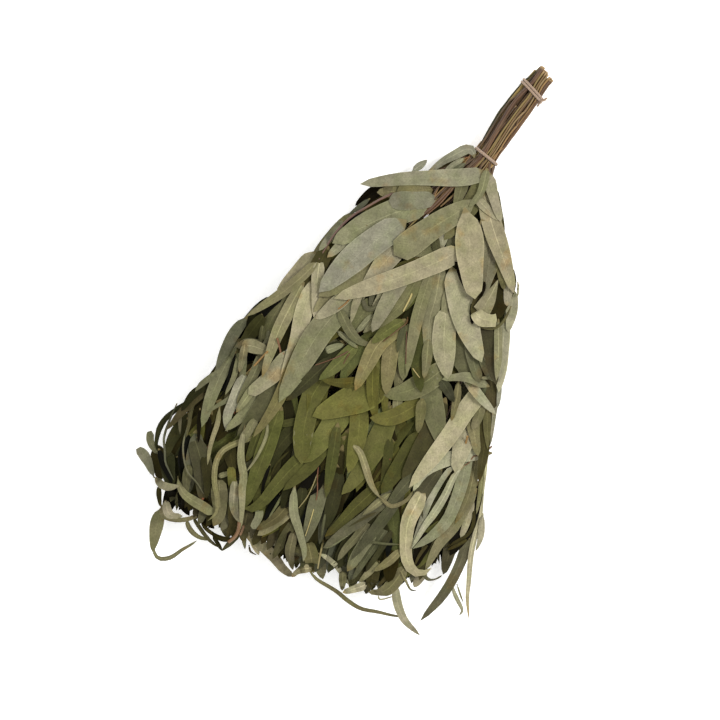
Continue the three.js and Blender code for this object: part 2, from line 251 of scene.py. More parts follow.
def sweep_tree(name):
    """Geometry Nodes that sweep an oval section along every path of a mesh of paths.

    Each point of a path carries its own frame (across, rise), half width and half depth, and how far
    the section is folded up along its middle and waved at its edges.
    """
    tree = bpy.data.node_groups.new(name, "GeometryNodeTree")
    new_socket = tree.interface.new_socket
    new_socket("Geometry", in_out="INPUT", socket_type="NodeSocketGeometry")
    sides = new_socket("Sides", in_out="INPUT", socket_type="NodeSocketInt")
    crease = new_socket("Crease Angle", in_out="INPUT", socket_type="NodeSocketFloat")
    finish = new_socket("Material", in_out="INPUT", socket_type="NodeSocketMaterial")
    new_socket("Geometry", in_out="OUTPUT", socket_type="NodeSocketGeometry")
    given = add(tree, "NodeGroupInput").outputs

    def named(what, kind="FLOAT"):
        return add(tree, "GeometryNodeInputNamedAttribute", {"Name": what}, data_type=kind).outputs[0]

    def keep(geometry, what, value, kind="FLOAT"):
        links = {"Geometry": geometry, "Name": what, "Value": value}
        return add(tree, "GeometryNodeStoreNamedAttribute", links, data_type=kind).outputs[0]

    def vector(operation, *values):
        links = dict(enumerate(values))
        if operation == "SCALE":
            links = {0: values[0], "Scale": values[1]}
        return add(tree, "ShaderNodeVectorMath", links, operation=operation).outputs[0]

    paths = add(tree, "GeometryNodeMeshToCurve", {"Mesh": given["Geometry"]}).outputs[0]
    paths = keep(paths, "centre", add(tree, "GeometryNodeInputPosition").outputs[0], "FLOAT_VECTOR")
    circle = add(tree, "GeometryNodeCurvePrimitiveCircle", {"Resolution": given["Sides"], "Radius": 1})
    ring = add(tree, "ShaderNodeSeparateXYZ", {0: add(tree, "GeometryNodeInputPosition").outputs[0]})
    section = keep(circle.outputs[0], "side", ring.outputs["X"])
    section = keep(section, "top", ring.outputs["Y"])
    bars = add(tree, "GeometryNodeCurveToMesh", {
        "Curve": paths, "Profile Curve": section, "Fill Caps": True,
    }).outputs[0]

    side, top = named("side"), named("top")
    half_width, fold = named("half_width"), named("fold")
    off = maths(tree, "ABSOLUTE", side)
    out = maths(tree, "MULTIPLY", maths(tree, "MULTIPLY", side, half_width), maths(tree, "COSINE", fold))
    folded = maths(tree, "MULTIPLY", maths(tree, "MULTIPLY", off, half_width), maths(tree, "SINE", fold))
    ripple = maths(tree, "SINE", maths(tree, "ADD", named("phase"), maths(tree, "MULTIPLY", side, 1.3)))
    ripple = maths(tree, "MULTIPLY", ripple, named("wave"))
    waved = maths(tree, "MULTIPLY", ripple, maths(tree, "POWER", off, 2))
    up = maths(tree, "MULTIPLY", top, named("half_depth"))
    up = maths(tree, "ADD", maths(tree, "ADD", up, folded), maths(tree, "MULTIPLY", waved, half_width))
    centre = named("centre", "FLOAT_VECTOR")
    place = vector("ADD", centre, vector("SCALE", named("across", "FLOAT_VECTOR"), out))
    place = vector("ADD", place, vector("SCALE", named("rise", "FLOAT_VECTOR"), up))
    shaped = add(tree, "GeometryNodeSetPosition", {"Geometry": bars, "Position": place}).outputs[0]

    smooth = add(tree, "GeometryNodeSetShadeSmooth", {"Geometry": shaped}).outputs[0]
    angle = add(tree, "GeometryNodeInputMeshEdgeAngle").outputs[0]
    sharp = maths(tree, "GREATER_THAN", angle, given["Crease Angle"])
    links = {"Geometry": smooth, "Selection": sharp, "Shade Smooth": False}
    smooth = add(tree, "GeometryNodeSetShadeSmooth", links, domain="EDGE").outputs[0]
    whole = add(tree, "GeometryNodeRealizeInstances", {0: smooth}).outputs[0]
    done = add(tree, "GeometryNodeSetMaterial", {"Geometry": whole, "Material": given["Material"]})
    add(tree, "NodeGroupOutput", {"Geometry": done.outputs[0]})
    return tree, {"sides": sides.identifier, "crease": crease.identifier, "material": finish.identifier}


SWEEP, SWEEP_INPUTS = sweep_tree("swept_paths")
VECTORS = ("across", "rise")


def path(points, half_width, half_depth, roll=0, fold=0, wave=0, phase=0, seed=0, tone="#808060", **more):
    """A path in millimetres with its section at each point.

    The section's frame is carried along without twist, and then rolled.
    """
    points = np.array(points, float)
    along = np.gradient(points, axis=0)
    along /= np.linalg.norm(along, axis=1)[:, None]
    across = np.cross([0, 0, 1], along[0])
    across = [across / max(np.linalg.norm(across), 1e-6)]
    for direction in along[1:]:
        carried = across[-1] - direction * (across[-1] @ direction)
        across.append(carried / np.linalg.norm(carried))
    across = np.array(across)
    rise = np.cross(along, across)
    turned = np.full(len(points), 1.0) * roll
    c, s = np.cos(turned)[:, None], np.sin(turned)[:, None]
    run = np.r_[0, np.cumsum(np.linalg.norm(np.diff(points, axis=0), axis=1))]
    ones = np.ones(len(points))
    made = {
        "points": (points + ORIGIN) / 1000,
        "across": across * c + rise * s,
        "rise": rise * c - across * s,
        "half_width": ones * half_width / 1000,
        "half_depth": ones * half_depth / 1000,
        "fold": ones * fold,
        "wave": ones * wave,
        "phase": ones * phase,
        "run": run / 1000,
        "share": run / run[-1],
        "seed": ones * seed,
        "tone": np.tile(srgb(tone), (len(points), 1)),
        "cut": ones * 0,
    }
    made.update({name: ones * value for name, value in more.items()})
    return made


def swept(name, paths, material, sides=8, crease=0.8):
    """A plain mesh object made by sweeping all the paths with the Geometry Nodes tree."""
    mesh = bpy.data.meshes.new(name)
    starts = np.cumsum([0] + [len(p["points"]) for p in paths])
    edges = [(a + k, a + k + 1) for a, p in zip(starts, paths) for k in range(len(p["points"]) - 1)]
    mesh.from_pydata(np.concatenate([p["points"] for p in paths]).tolist(), edges, [])
    for key in paths[0]:
        if key == "points":
            continue
        values = np.concatenate([p[key] for p in paths])
        kind, field = ("FLOAT", "value")
        if key in VECTORS:
            kind, field = ("FLOAT_VECTOR", "vector")
        elif key == "tone":
            kind, field = ("FLOAT_COLOR", "color")
        mesh.attributes.new(key, kind, "POINT").data.foreach_set(field, values.ravel())
    piece = bpy.data.objects.new(name, mesh)
    bpy.context.scene.collection.objects.link(piece)
    modifier = piece.modifiers.new("Sweep", "NODES")
    modifier.node_group = SWEEP
    modifier[SWEEP_INPUTS["sides"]] = sides
    modifier[SWEEP_INPUTS["crease"]] = crease
    modifier[SWEEP_INPUTS["material"]] = material
    evaluated = piece.evaluated_get(bpy.context.evaluated_depsgraph_get())
    made = bpy.data.meshes.new_from_object(evaluated)
    piece.modifiers.clear()
    piece.data = made
    bpy.data.meshes.remove(mesh)
    return piece


def joined(name, pieces):
    """One object from several, with each one's material kept."""
    with bpy.context.temp_override(active_object=pieces[0], selected_editable_objects=pieces):
        bpy.ops.object.join()
    pieces[0].name = pieces[0].data.name = name
    return pieces[0]


def dress(piece, slot, *nodes):
    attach(piece, "root")
    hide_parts(*nodes)


def smoothed(values, times):
    for _ in range(times):
        padded = np.r_[values[0], values, values[-1]]
        values = (padded[:-2] + 2 * padded[1:-1] + padded[2:]) / 4
    return values


def curve_through(points, count):
    """A smooth line through a few points, evenly stepped."""
    points = np.array(points, float)
    if len(points) == 2:
        points = np.insert(points, 1, points.mean(axis=0), axis=0)
    ends = np.vstack([2 * points[0] - points[1], points, 2 * points[-1] - points[-2]])
    fine = []
    for a, b, c, d in zip(ends, ends[1:], ends[2:], ends[3:]):
        straight, bend, turn = c - a, 2 * a - 5 * b + 4 * c - d, 3 * b - a - 3 * c + d
        for t in np.linspace(0, 1, 12, endpoint=False):
            fine.append(0.5 * (2 * b + straight * t + bend * t**2 + turn * t**3))
    fine = np.array(fine + [points[-1]])
    run = np.r_[0, np.cumsum(np.linalg.norm(np.diff(fine, axis=0), axis=1))]
    even = np.linspace(0, run[-1], count)
    return np.stack([np.interp(even, run, column) for column in fine.T], axis=1)


BARK_TONES = ["#7A5238", "#8F7A3E", "#5E4128", "#8A6236", "#6B5A34", "#4A3422", "#94703F"]
# A darker bark for the stems that lie under the side twigs: painted shade.
SHADED_BARK = "#3A2A1C"
BUD_SPACING = 37
HANDLE_RADIUS = 10.4  # of the round of the bound stems
# Thin side twigs of the upper branches are bound in over them and fan out past the lower tie. By stem,
# each is (bark colour, thickness, place, place, ...), in millimetres along and across.
SIDE_TWIGS = {
    13: [
        ("#3E301F", 2.4, (-98, 17.5), (-88, 15.5), (-78, 11), (-68, 6), (-60, 2), (-40, -2.2), (-20, -5),
         (-8, -7.4), (8, -12), (24, -19), (44, -29), (64, -33.5), (84, -41)),
        # This one is near black: painted shade in the gap between the strands.
        ("#2A1E14", 2.2, (-60, 9.5), (-40, 4.6), (-20, 1), (-6, -3), (10, -8.5), (30, -17), (50, -25.5),
         (70, -33), (92, -43)),
        ("#7A5C34", 1.5, (-14, -8), (6, -13), (22, -20), (40, -28.5), (60, -30.5), (78, -37)),
    ],
    14: [
        ("#66502F", 1.9, (-101, 24.5), (-88, 21.8), (-78, 20.4), (-67, 17.8), (-57, 15.3), (-48, 13.1),
         (-37, 11), (-24, 9), (-13, 7.3), (0, 4.6), (14, 0.4), (34, -7), (50, -14), (64, -21)),
        ("#5E4230", 1.9, (-44, 7.4), (-30, 3.6), (-14, 1.4), (0, 0), (10, -3.8), (32, -12), (48, -18),
         (60, -22), (76, -30)),
        ("#846A40", 1.3, (-30, 2), (-8, -3.4), (10, -9), (32, -19), (52, -28), (68, -32), (84, -40)),
    ],
    15: [
        ("#8A6C40", 2.1, (-99, 29.6), (-87, 26.2), (-72, 25.4), (-58, 22.8), (-47.6, 20), (-38, 16.8),
         (-28.5, 14.4), (-19, 12.8), (-10.5, 11.6), (4, 9.8), (16, 11.5), (30, 15)),
        ("#7A5C34", 1.7, (-40, 18.8), (-28, 16.6), (-18, 14.6), (-6, 9.8), (6, 7), (22, 5)),
    ],
    16: [
        ("#5A4028", 2.2, (-98, 33), (-86, 30.4), (-67, 26.8), (-58, 25.2), (-47.6, 22.8), (-38, 20.6),
         (-28.5, 18.2), (-19, 16.2), (-7, 13.2), (6, 12.4), (22, 17), (42, 28)),
        ("#4A3426", 2.4, (-97, 31), (-86, 28.2), (-70, 26), (-60, 24.2), (-50, 22), (-40, 19.8),
         (-30, 17.6), (-15, 13.8)),
    ],
    17: [
        ("#3C2418", 4.2, (-106, 19.6), (-92, 17), (-78, 12.6), (-67, 8.2), (-58, 6), (-48, 4.2), (-38, 2.8),
         (-26, 1), (-9, -1), (8, -5), (30, -14), (50, -21), (66, -27.5), (80, -35)),
    ],
    18: [
        ("#7A6A3C", 2, (-102, 22), (-88, 19), (-75, 18), (-63, 14.8), (-52, 12), (-38, 8.9), (-26, 6.4),
         (-14, 4.2), (-7, 2.8), (8, -1.6), (28, -10), (46, -19), (60, -25), (72, -31), (88, -39),
         (108, -45)),
        ("#6E6234", 1.5, (-34, 10), (-20, 6.4), (-8, 5), (6, 2.4), (26, -5), (46, -13), (62, -20)),
        ("#7E6238", 1.3, (-12, 1.2), (6, -3.4), (26, -11), (44, -20), (62, -27.5), (78, -35), (100, -43)),
    ],
    19: [
        ("#84704A", 1.8, (-100, 27), (-88, 23.8), (-74, 22.8), (-60, 20.4), (-52.5, 17.4), (-43, 14.4),
         (-33, 12.6), (-20, 10.4), (-8, 8.4), (8, 5), (24, 1)),
        ("#5E4630", 1.6, (-66, 21.4), (-56, 19), (-48, 17.6), (-40, 17.6), (-30, 16.6)),
    ],
}
TWIG_LINES = []


def side_twig_points(plan):
    """A thin twig on the round of the handle, which then lies on the foliage past the tie."""
    line = curve_through(plan, 100)
    x, y = line.T
    across = np.clip(y - axis_y(x), 0.2 - HANDLE_RADIUS, HANDLE_RADIUS - 0.2)
    bound = HANDLE_HEIGHT + np.sqrt(HANDLE_RADIUS**2 - across**2)
    points = np.c_[line, lerp(bound, surface_z(x, y, 0.9) + 0.7, smoothstep(x, -2, 32))]
    if x[0] > -95:  # it comes up from between the others
        points[:, 2] -= 5 * np.clip(1 - np.linspace(0, 8, 100), 0, 1)
    TWIG_LINES.append(points)
    return points[::2]


def stem_path(number, points, radius, tone):
    """A branch with a bud every few centimetres and a clean cut at its lower end."""
    run = np.r_[0, np.cumsum(np.linalg.norm(np.diff(points, axis=0), axis=1))]
    first_bud = scatter(number, 0, BUD_SPACING)
    bud = np.exp(-(((run + first_bud) % BUD_SPACING - BUD_SPACING // 2) ** 2) / 4)
    width = radius * (1 + 0.22 * bud + 0.05 * np.sin(run / 7 + number))
    cut = np.where(run < 0.3, 1.0, 0.0)
    turn = number * 0.7
    return path(points, width, width, roll=turn, seed=number, tone=tone, cut=cut)


# How far the stems may reach to the right just past the lower tie, where the whisk has a slim neck.
NECK_X = [-6, 0, 7, 14, 20, 28, 42, 56, 90]
NECK_Y = [38.5, 13.5, 13, 14, 17.5, 24.5, 34.5, 42.5, 66.5]

number = 0
for row, count in enumerate(STEM_ROWS):
    for column in range(count):
        number += 1
        twigs = SIDE_TWIGS.get(number, [])
        butt = BUTT_X + scatter(number, 0, BUTT_UNEVEN)
        end = scatter(number * 3, *STEM_END_X)
        stations = np.r_[butt, butt + 0.25, np.arange(butt + 3, end, 4.5), end]
        points = np.array([stem_point(row, column, x) for x in stations])
        points[:, 1] += 0.35 * np.sin(stations / 23 + number) * np.minimum(1, (stations + 110) / 40)
        past_tie = stations > NECK_X[0]
        neck = np.interp(stations, NECK_X, NECK_Y)
        points[:, 1] = np.where(past_tie, np.minimum(points[:, 1], neck), points[:, 1])
        buried = surface_z(stations, points[:, 1], 0.88 * (row + 0.5) / ROWS)
        points[:, 2] += (buried - points[:, 2]) * np.clip((stations - 12) / 60, 0, 1)
        radius = np.array([stem_radius(x) for x in stations]) * scatter(number * 5, 0.78, 0.98)
        if twigs:  # the stem lies a little lower and is thinner, to leave room for them
            room = np.clip(1 - stations / 30, 0, 1)
            points[:, 2] -= 1.4 * room
            radius *= 1 - 0.2 * room
        tone = SHADED_BARK if twigs else BARK_TONES[number % len(BARK_TONES)]
        wood = [stem_path(number, points, radius, tone)]
        for k, (tone, thick, *plan) in enumerate(twigs):
            tapered = thick / 2 * np.linspace(1, 0.8, 50)
            wood.append(stem_path(number * 3 + k, side_twig_points(plan), tapered, tone))
        piece = swept(f"branch_{number:02d}", wood, bark, sides=9, crease=1.0)
        dress(piece, "stem_wood", f"stem_{number:02d}")

# ---- Leaves ----
# Eucalyptus leaves are long, leathery blades on short stalks, with one pale midrib. Drying in the
# pressed bunch has turned them sage, grey or olive, waved their edges and folded or curled a few.

# The darkest tones, dusk, shade and deep, are partly real dark leaves and partly painted shade: leaves in
# the gaps and deep in the bunch take them so that those places look shadowed. Deep is near black.
TONES = {
    "cream": "#928C72",
    "dove": "#85806B",
    "pale": "#7D775F",
    "ash": "#716D52",
    "sage": "#666247",
    "fern": "#5C583B",
    "fresh": "#686C48",
    "tan": "#746A46",
    "stone": "#524F3C",
    "grey": "#48452F",
    "slate": "#3E3A28",
    "umber": "#38341E",
    "olive": "#56552E",
    "moss": "#494824",
    "ivy": "#403E1E",
    "dusk": "#2E2B15",
    "shade": "#211E0A",
    "deep": "#0C0A04",
}


def tinted(tone, number):
    """A leaf's own colour: its tone, a little lighter or darker and a little greener or browner."""
    r, g, b = (int(TONES[tone][k : k + 2], 16) for k in (1, 3, 5))
    light, warm = scatter(number * 7, 0.92, 1.08), scatter(number * 13, -3, 3)
    made = (r * light + warm, g * light, b * light - warm)
    return "#" + "".join(f"{int(min(255, max(0, value))):02X}" for value in made)


def leaf_material():
    """Dried eucalyptus leaf: a waxy, matt, faintly mealy skin with a pale midrib, fine slanting side
    veins and a thin yellowish rim. It is freckled with oil glands, and blotched brown in places."""
    material, tree = new_material("dried_eucalyptus_leaf")
    place = add(tree, "ShaderNodeTexCoord").outputs["Object"]
    side, share, run = attribute(tree, "side"), attribute(tree, "share"), attribute(tree, "run")
    off = maths(tree, "ABSOLUTE", side)
    out = maths(tree, "MULTIPLY", off, attribute(tree, "half_width"))  # metres from the midrib
    seed = attribute(tree, "seed")

    def step(value, low, high, start=0.0, end=1.0):
        links = {"Value": value, "From Min": low, "From Max": high, "To Min": start, "To Max": end}
        return add(tree, "ShaderNodeMapRange", links).outputs[0]

    def noise(scale, detail=2):
        links = {"Vector": place, "Scale": scale, "Detail": detail}
        return add(tree, "ShaderNodeTexNoise", links).outputs["Fac"]

    # Clouds about 12 mm across, cells about 2 mm across and freckles under 1 mm. The real cells between
    # the finest veins are under half a millimetre, and are drawn coarser so that they show.
    clouds, cells, freckles = noise(80), noise(450, 3), noise(1300, 1)
    light = step(clouds, 0.3, 0.7, 0.84, 1.14)
    light = maths(tree, "MULTIPLY", light, step(cells, 0.3, 0.7, 0.86, 1.14))
    light = maths(tree, "MULTIPLY", light, step(freckles, 0.6, 0.7, 1.0, 0.72))

    # Side veins leave the midrib every 3.5 mm and slant forwards. The midrib is about 1.2 mm wide at
    # the stalk and fades out towards the tip, and the rim is a little paler than the blade.
    slant = maths(tree, "SUBTRACT", run, maths(tree, "MULTIPLY", out, 1.1))
    wave = maths(tree, "SINE", maths(tree, "MULTIPLY", slant, 2 * math.pi / 0.0035))
    veins = maths(tree, "MULTIPLY", step(wave, 0.5, 1.0), step(off, 0.05, 0.9, 1.0, 0.2))
    veins = maths(tree, "MULTIPLY", veins, step(clouds, 0.38, 0.62))
    ribbed = step(maths(tree, "DIVIDE", out, step(share, 0.0, 1.0, 0.0007, 0.0003)), 1.2, 0.6)
    rib = maths(tree, "MULTIPLY", ribbed, step(share, 0.5, 1.0, 0.6, 0.06))
    rib = maths(tree, "MULTIPLY", rib, step(seed, 0.0, 1.0, 0.12, 1.0))
    pale = maths(tree, "MULTIPLY_ADD", veins, 0.16, rib)
    pale = maths(tree, "MULTIPLY_ADD", step(off, 0.9, 0.98), 0.22, pale)
    light = maths(tree, "MULTIPLY", light, maths(tree, "ADD", pale, 1.0))
    shade = add(tree, "ShaderNodeCombineColor", {"Red": light, "Green": light, "Blue": light}).outputs[0]
    colour = blend_colours(tree, 1.0, attribute(tree, "tone", "Color"), shade, "MULTIPLY")
    fresher = step(noise(60, 3), 0.42, 0.66, 0.0, 0.8)
    colour = blend_colours(tree, fresher, colour, (0.92, 0.98, 0.84, 1.0), "MULTIPLY")

    # Brown bruises, brown tips on a few leaves, and now and then a rust-red spot.
    bruise = maths(tree, "MULTIPLY", step(noise(38, 4), 0.6, 0.7), 0.6)
    aged = maths(tree, "MULTIPLY", step(share, 0.84, 1.0), step(seed, 0.84, 0.92))
    aged = maths(tree, "MAXIMUM", aged, bruise, clamp=True)
    colour = blend_colours(tree, aged, colour, (1.0, 0.78, 0.56, 1.0), "MULTIPLY")
    spots = add(tree, "ShaderNodeTexVoronoi", {"Vector": place, "Scale": 55})
    chosen = step(add(tree, "ShaderNodeSeparateColor", {0: spots.outputs["Color"]}).outputs[0], 0.9, 0.92)
    red = maths(tree, "MULTIPLY", step(spots.outputs["Distance"], 0.1, 0.06), chosen)
    colour = blend_colours(tree, maths(tree, "MULTIPLY", red, 0.6), colour, tuple(srgb("#7E4A34")))
    under = step(attribute(tree, "top"), -0.05, -0.2, 0.0, 0.4)
    colour = blend_colours(tree, under, colour, tuple(srgb("#7C7860")))
    stalk = step(share, 0.07, 0.05)
    colour = blend_colours(tree, maths(tree, "MULTIPLY", stalk, 0.8), colour, tuple(srgb("#6E6240")))

    height = maths(tree, "ADD", maths(tree, "MULTIPLY", ribbed, 0.8), maths(tree, "MULTIPLY", veins, 0.3))
    height = maths(tree, "ADD", height, maths(tree, "MULTIPLY", cells, 0.5))
    bump = add(tree, "ShaderNodeBump", {"Height": height, "Strength": 0.45, "Distance": 0.0004})
    shader = add(tree, "ShaderNodeBsdfPrincipled", {
        "Base Color": colour, "Normal": bump.outputs[0], "IOR": 1.45, "Specular IOR Level": 0.05,
        "Roughness": step(cells, 0.3, 0.7, 0.56, 0.74),
    })
    add(tree, "ShaderNodeOutputMaterial", {"Surface": shader.outputs[0]})
    return material


leaf_skin = leaf_material()


class Pile:
    """How high the foliage already lies, every 2 mm, so that each leaf rests on those below it."""

    STEP = 2.0
    LOW = np.array([-40.0, -240.0])
    CELLS = (290, 220)

    def __init__(self, share):
        sides = [low + self.STEP * np.arange(count) for low, count in zip(self.LOW, self.CELLS)]
        x, y = np.meshgrid(*sides, indexing="ij")
        self.height = surface_z(x, y, share) if share else np.full(x.shape, 0.4)

    def cells(self, spots):
        index = np.round((spots - self.LOW) / self.STEP).astype(int)
        return tuple(np.clip(index[..., k], 0, self.CELLS[k] - 1) for k in (0, 1))

    def lay(self, plan, half_width, raised, lift):
        """Heights and tilts for a leaf along a plan, which then counts as part of the pile."""
        along = np.gradient(plan, axis=0)
        along /= np.linalg.norm(along, axis=1)[:, None]
        aside = np.c_[-along[:, 1], along[:, 0]]
        offs = np.linspace(-0.9, 0.9, 7)
        spots = plan[:, None] + aside[:, None] * (half_width[:, None] * offs)[..., None]
        found = self.height[self.cells(spots)]
        tilt = (found[:, 4:].mean(axis=1) - found[:, :3].mean(axis=1)) / (1.2 * np.maximum(half_width, 2))
        tilt = smoothed(np.clip(0.6 * tilt, -0.35, 0.35), 2)
        rest = (found - tilt[:, None] * offs * half_width[:, None]).max(axis=1)
        z = smoothed(np.maximum(rest, np.maximum(np.roll(rest, 1), np.roll(rest, -1)) - 1.5), 2)
        z = np.maximum(z, rest - 0.3) + 0.45 + lift
        fine = np.linspace(0, len(plan) - 1, 4 * len(plan))
        spread = np.linspace(-1, 1, 15)
        known = (*plan.T, *aside.T, half_width, z, tilt, raised)
        line = (np.interp(fine, range(len(plan)), values)[:, None] for values in known)
        px, py, ax, ay, w, height, lean, lifted = line
        spots = np.stack([px + ax * w * spread, py + ay * w * spread], axis=-1)
        tops = height + lean * w * spread + 0.6 * lifted * np.abs(spread) + 0.3
        np.maximum.at(self.height, self.cells(spots), tops)
        return z, np.arctan(tilt)


# The forms of leaves, each as how slowly they widen from the stalk and narrow to the tip.
LANCE, STRAP, BROAD = (0.36, 0.66), (0.3, 0.5), (0.2, 0.48)
WIDE_TIP, WEDGE = (0.45, 0.22), (0.9, 0.04)
STALK = 0.07  # the stalk's share of a leaf's length
leaf_numbers = itertools.count(1)


def blade(share, form):
    """The half width of a leaf along its length, as a share of the widest."""
    rise, fall = form
    t = np.clip((share - STALK) / (1 - STALK), 0, 1)
    peak = rise / (rise + fall)
    return t**rise * (1 - t) ** fall / (peak**rise * (1 - peak) ** fall)


def leaf(
    pile, tone, width, *plan, form=LANCE, fold=None, roll=0.0, twist=0.0, wave=0.1, z=None, steps=14,
    dip=4, back=0.0, arch=None, curl=None,
):
    """One leaf from its stalk to its tip, laid on the pile unless its heights are given.

    back is how far its hidden stalk end reaches behind the first place, as a share of the length, and dip
    how deep that end is tucked in. arch and curl are how far its middle and its tip stand up.
    """
    number = next(leaf_numbers)
    if len(plan) == 2:
        (ax, ay), (bx, by) = plan
        bow = scatter(number * 3, -0.05, 0.05)
        middle = ((ax + bx) / 2 - (by - ay) * bow, (ay + by) / 2 + (bx - ax) * bow)
        plan = [(ax, ay), middle, (bx, by)]
    if back:
        first, second = np.array(plan[0], float), np.array(plan[1], float)
        reach = back * sum(math.dist(a, b) for a, b in zip(plan, plan[1:]))
        plan = [tuple(first + (first - second) / np.linalg.norm(second - first) * reach), *plan]
    line = curve_through(plan, steps)
    share = np.linspace(0, 1, steps)
    uneven = 1 + 0.05 * np.sin(9 * share + number)
    half_width = np.maximum(width / 2 * blade(share, form) * uneven, 0.12)
    half_width[share < STALK] = 0.7
    fold = scatter(number * 5, 0.02, 0.24) if fold is None else fold
    folds = fold * np.ones(steps)
    tilt = np.zeros(steps)
    if z is None:
        arch = scatter(number * 17, 0.0, 1.6) if arch is None else arch
        curl = scatter(number * 19, -0.5, 2.5) if curl is None else curl
        lift = arch * np.sin(math.pi * share) ** 0.7 + curl * share**3
        lift -= dip * np.clip(1 - share / 0.16, 0, 1) ** 1.5
        heights, tilt = pile.lay(line[:, :2], half_width, half_width * np.sin(folds), lift)
    else:
        heights = np.interp(share, np.linspace(0, 1, len(z)), z)
    turn = tilt + roll + twist * share
    points = np.c_[line[:, :2], np.maximum(heights, 0.8 + half_width * np.abs(np.sin(turn)))]
    swell = scatter(number * 11, 5, 9)
    return path(
        points,
        half_width,
        np.minimum(0.3, 0.05 + half_width * 0.2) * np.where(share < STALK, 2.3, 1),
        roll=turn,
        fold=folds,
        wave=wave * np.clip(share * 6, 0, 1),
        phase=swell * share + number,
        seed=scatter(number, 0, 1),
        tone=tinted(tone, number),
    )


# ---- Leafy shoots inside the bunch ----
# Side twigs, each with about twenty leaves, fill the bunch from the table up. The weight of the whisk
# presses the lowest ones flat.

MIDWAY_X, TIP_X = 262, 460
TWIG_DIAMETER = 2.2
TWIG_TONES = ["#8A6236", "#7A5A38", "#94733F", "#6E4A30"]
Shoot = namedtuple("Shoot", "number level start end left right")


def shoot_plan():
    """Each shoot's level, its start and end along the whisk and its edges across the fan."""
    plan = []

    def add_row(level, start, edges, ends):
        for k, end in enumerate(ends):
            back = 16 if level == ROWS and k % 2 else 0
            plan.append(Shoot(len(plan) + 1, level, start - back, end, edges[k], edges[k + 1]))

    add_row(0, 84, [-0.96, 0, 0.96], [MIDWAY_X] * 2)
    add_row(0, MIDWAY_X, [-1, -0.34, 0.34, 1], [TIP_X - 6, TIP_X + 12, TIP_X - 20])
    for level in range(1, ROWS):
        middle, short = scatter(level, -0.22, 0.22), scatter(level * 2, 0, 18)
        midway = MIDWAY_X + 44 if level % 2 else MIDWAY_X - 56
        add_row(level, 56, [-1, middle, 1], [midway] * 2)
        add_row(level, midway, [-1, -middle, 1], [TIP_X - short, TIP_X - 18 + short])
    add_row(ROWS, 122, [-1, -0.5, 0, 0.5, 1], [MIDWAY_X - 20] * 4)
    add_row(ROWS, MIDWAY_X, [-1, -0.6, -0.2, 0.2, 0.6, 1], [TIP_X + past for past in (32, -10, 0, 6, -16)])
    return plan


def root_on_stem(row, x, y):
    """Where a shoot grows out of the nearest stem of a row."""
    places = [stem_point(row, column, x) for column in range(STEM_ROWS[row])]
    return min(places, key=lambda place: abs(place[1] - y))


def shoot_twig(shoot):
    """The twig of a shoot, from the stem that it grows on to near its last leaf."""
    middle = (shoot.left + shoot.right) / 2
    straight_y = fan_y(middle, shoot.start)
    root = root_on_stem(max(0, shoot.level - 1), shoot.start, straight_y)
    share = np.linspace(0, 1, 22)
    x = lerp(shoot.start, shoot.end - 100, share)
    y = fan_y(middle, x) + (root[1] - straight_y) * (1 - share) ** 2
    y = y + 2.5 * np.sin(share * 7 + shoot.number) * share
    z = surface_z(x, y, 0.86 * shoot.level / ROWS) if shoot.level else np.full(len(x), 1.4)
    z = lerp(z, root[2] + z - z[0], (1 - share) ** 5)
    radius = lerp(TWIG_DIAMETER, 0.55 * TWIG_DIAMETER, share) / 2
    points = np.c_[x, y, np.maximum(z, radius + 0.2)]
    tone = TWIG_TONES[shoot.number % len(TWIG_TONES)]
    return points, path(points, radius, radius, seed=shoot.number, tone=tone)


# Where the foliage ends on each side, less the few leaves that hang out of it.
EDGE_X = [60, 120, 200, 280, 340, 380, 400, 420, 440, 455]
LEFT_EDGE = [-80, -105, -134, -160, -172, -174, -172, -165, -150, -120]
RIGHT_EDGE = [42, 80, 98, 114, 130, 128, 106, 90, 68, 40]


def within_edges(x, y, share=1.0):
    """A place across the whisk, kept inside the foliage or inside a share of its width."""
    low, high = (share * np.interp(x, EDGE_X, edge) for edge in (LEFT_EDGE, RIGHT_EDGE))
    return float(np.clip(y, low, high))


def shoot_leaves(shoot, points, count, tones, pile=None):
    """Leaves on alternate sides of a twig, each reaching forwards inside the shoot's share of the fan.

    They are laid on a pile, or fly at the shoot's own level where there is none.
    """
    made = []
    middle = (shoot.left + shoot.right) / 2
    for k in range(count):
        seed = shoot.number * 31 + k
        place = points[int(lerp(2, len(points) - 1, k / (count - 1)))]
        stalk = tuple(place[:2])
        length, lean = scatter(seed, 78, 116), scatter(seed * 3, 0.12, 0.72)
        last = min(shoot.end + scatter(seed * 5, -24, 6), scatter(seed * 5, 420, 438))
        far = min(place[0] + length * math.cos(lean), last)
        room = (shoot.right - shoot.left) / 2 * leaf_reach(middle, far)
        aside = min(length * math.sin(lean), scatter(seed * 9, 0.7, 1.0) * room)
        turn = 1 if k % 2 else -1
        tip = (far, within_edges(far, fan_y(middle, far) + turn * aside))
        tone = tones[int(scatter(seed * 2, 0, len(tones)))]
        width = scatter(seed * 7, 13, 23)
        if pile:
            flat = {"dip": 0, "wave": 0.05, "fold": 0.03, "arch": 0, "curl": 0}
            made.append(leaf(pile, tone, width, stalk, tip, steps=10, **flat))
            continue
        share = np.clip(shoot.level / ROWS + scatter(seed * 11, -0.12, 0.1), 0.04, 0.95)
        x, y = np.linspace(place[0], tip[0], 6), np.linspace(place[1], tip[1], 6)
        rise = scatter(seed * 13, -5, 5) * np.linspace(0, 1, 6)
        level = np.maximum(surface_z(x, y, share) + rise, 3)
        z = lerp(place[2], level, np.clip(np.linspace(0, 3, 6), 0, 1))
        tilt, twist = scatter(seed * 17, -0.5, 0.5), scatter(seed * 19, -0.7, 0.7)
        fold = scatter(seed * 23, 0.05, 0.5)
        made.append(leaf(None, tone, width, stalk, tip, z=z, roll=tilt, twist=twist, steps=10, fold=fold))
    return made


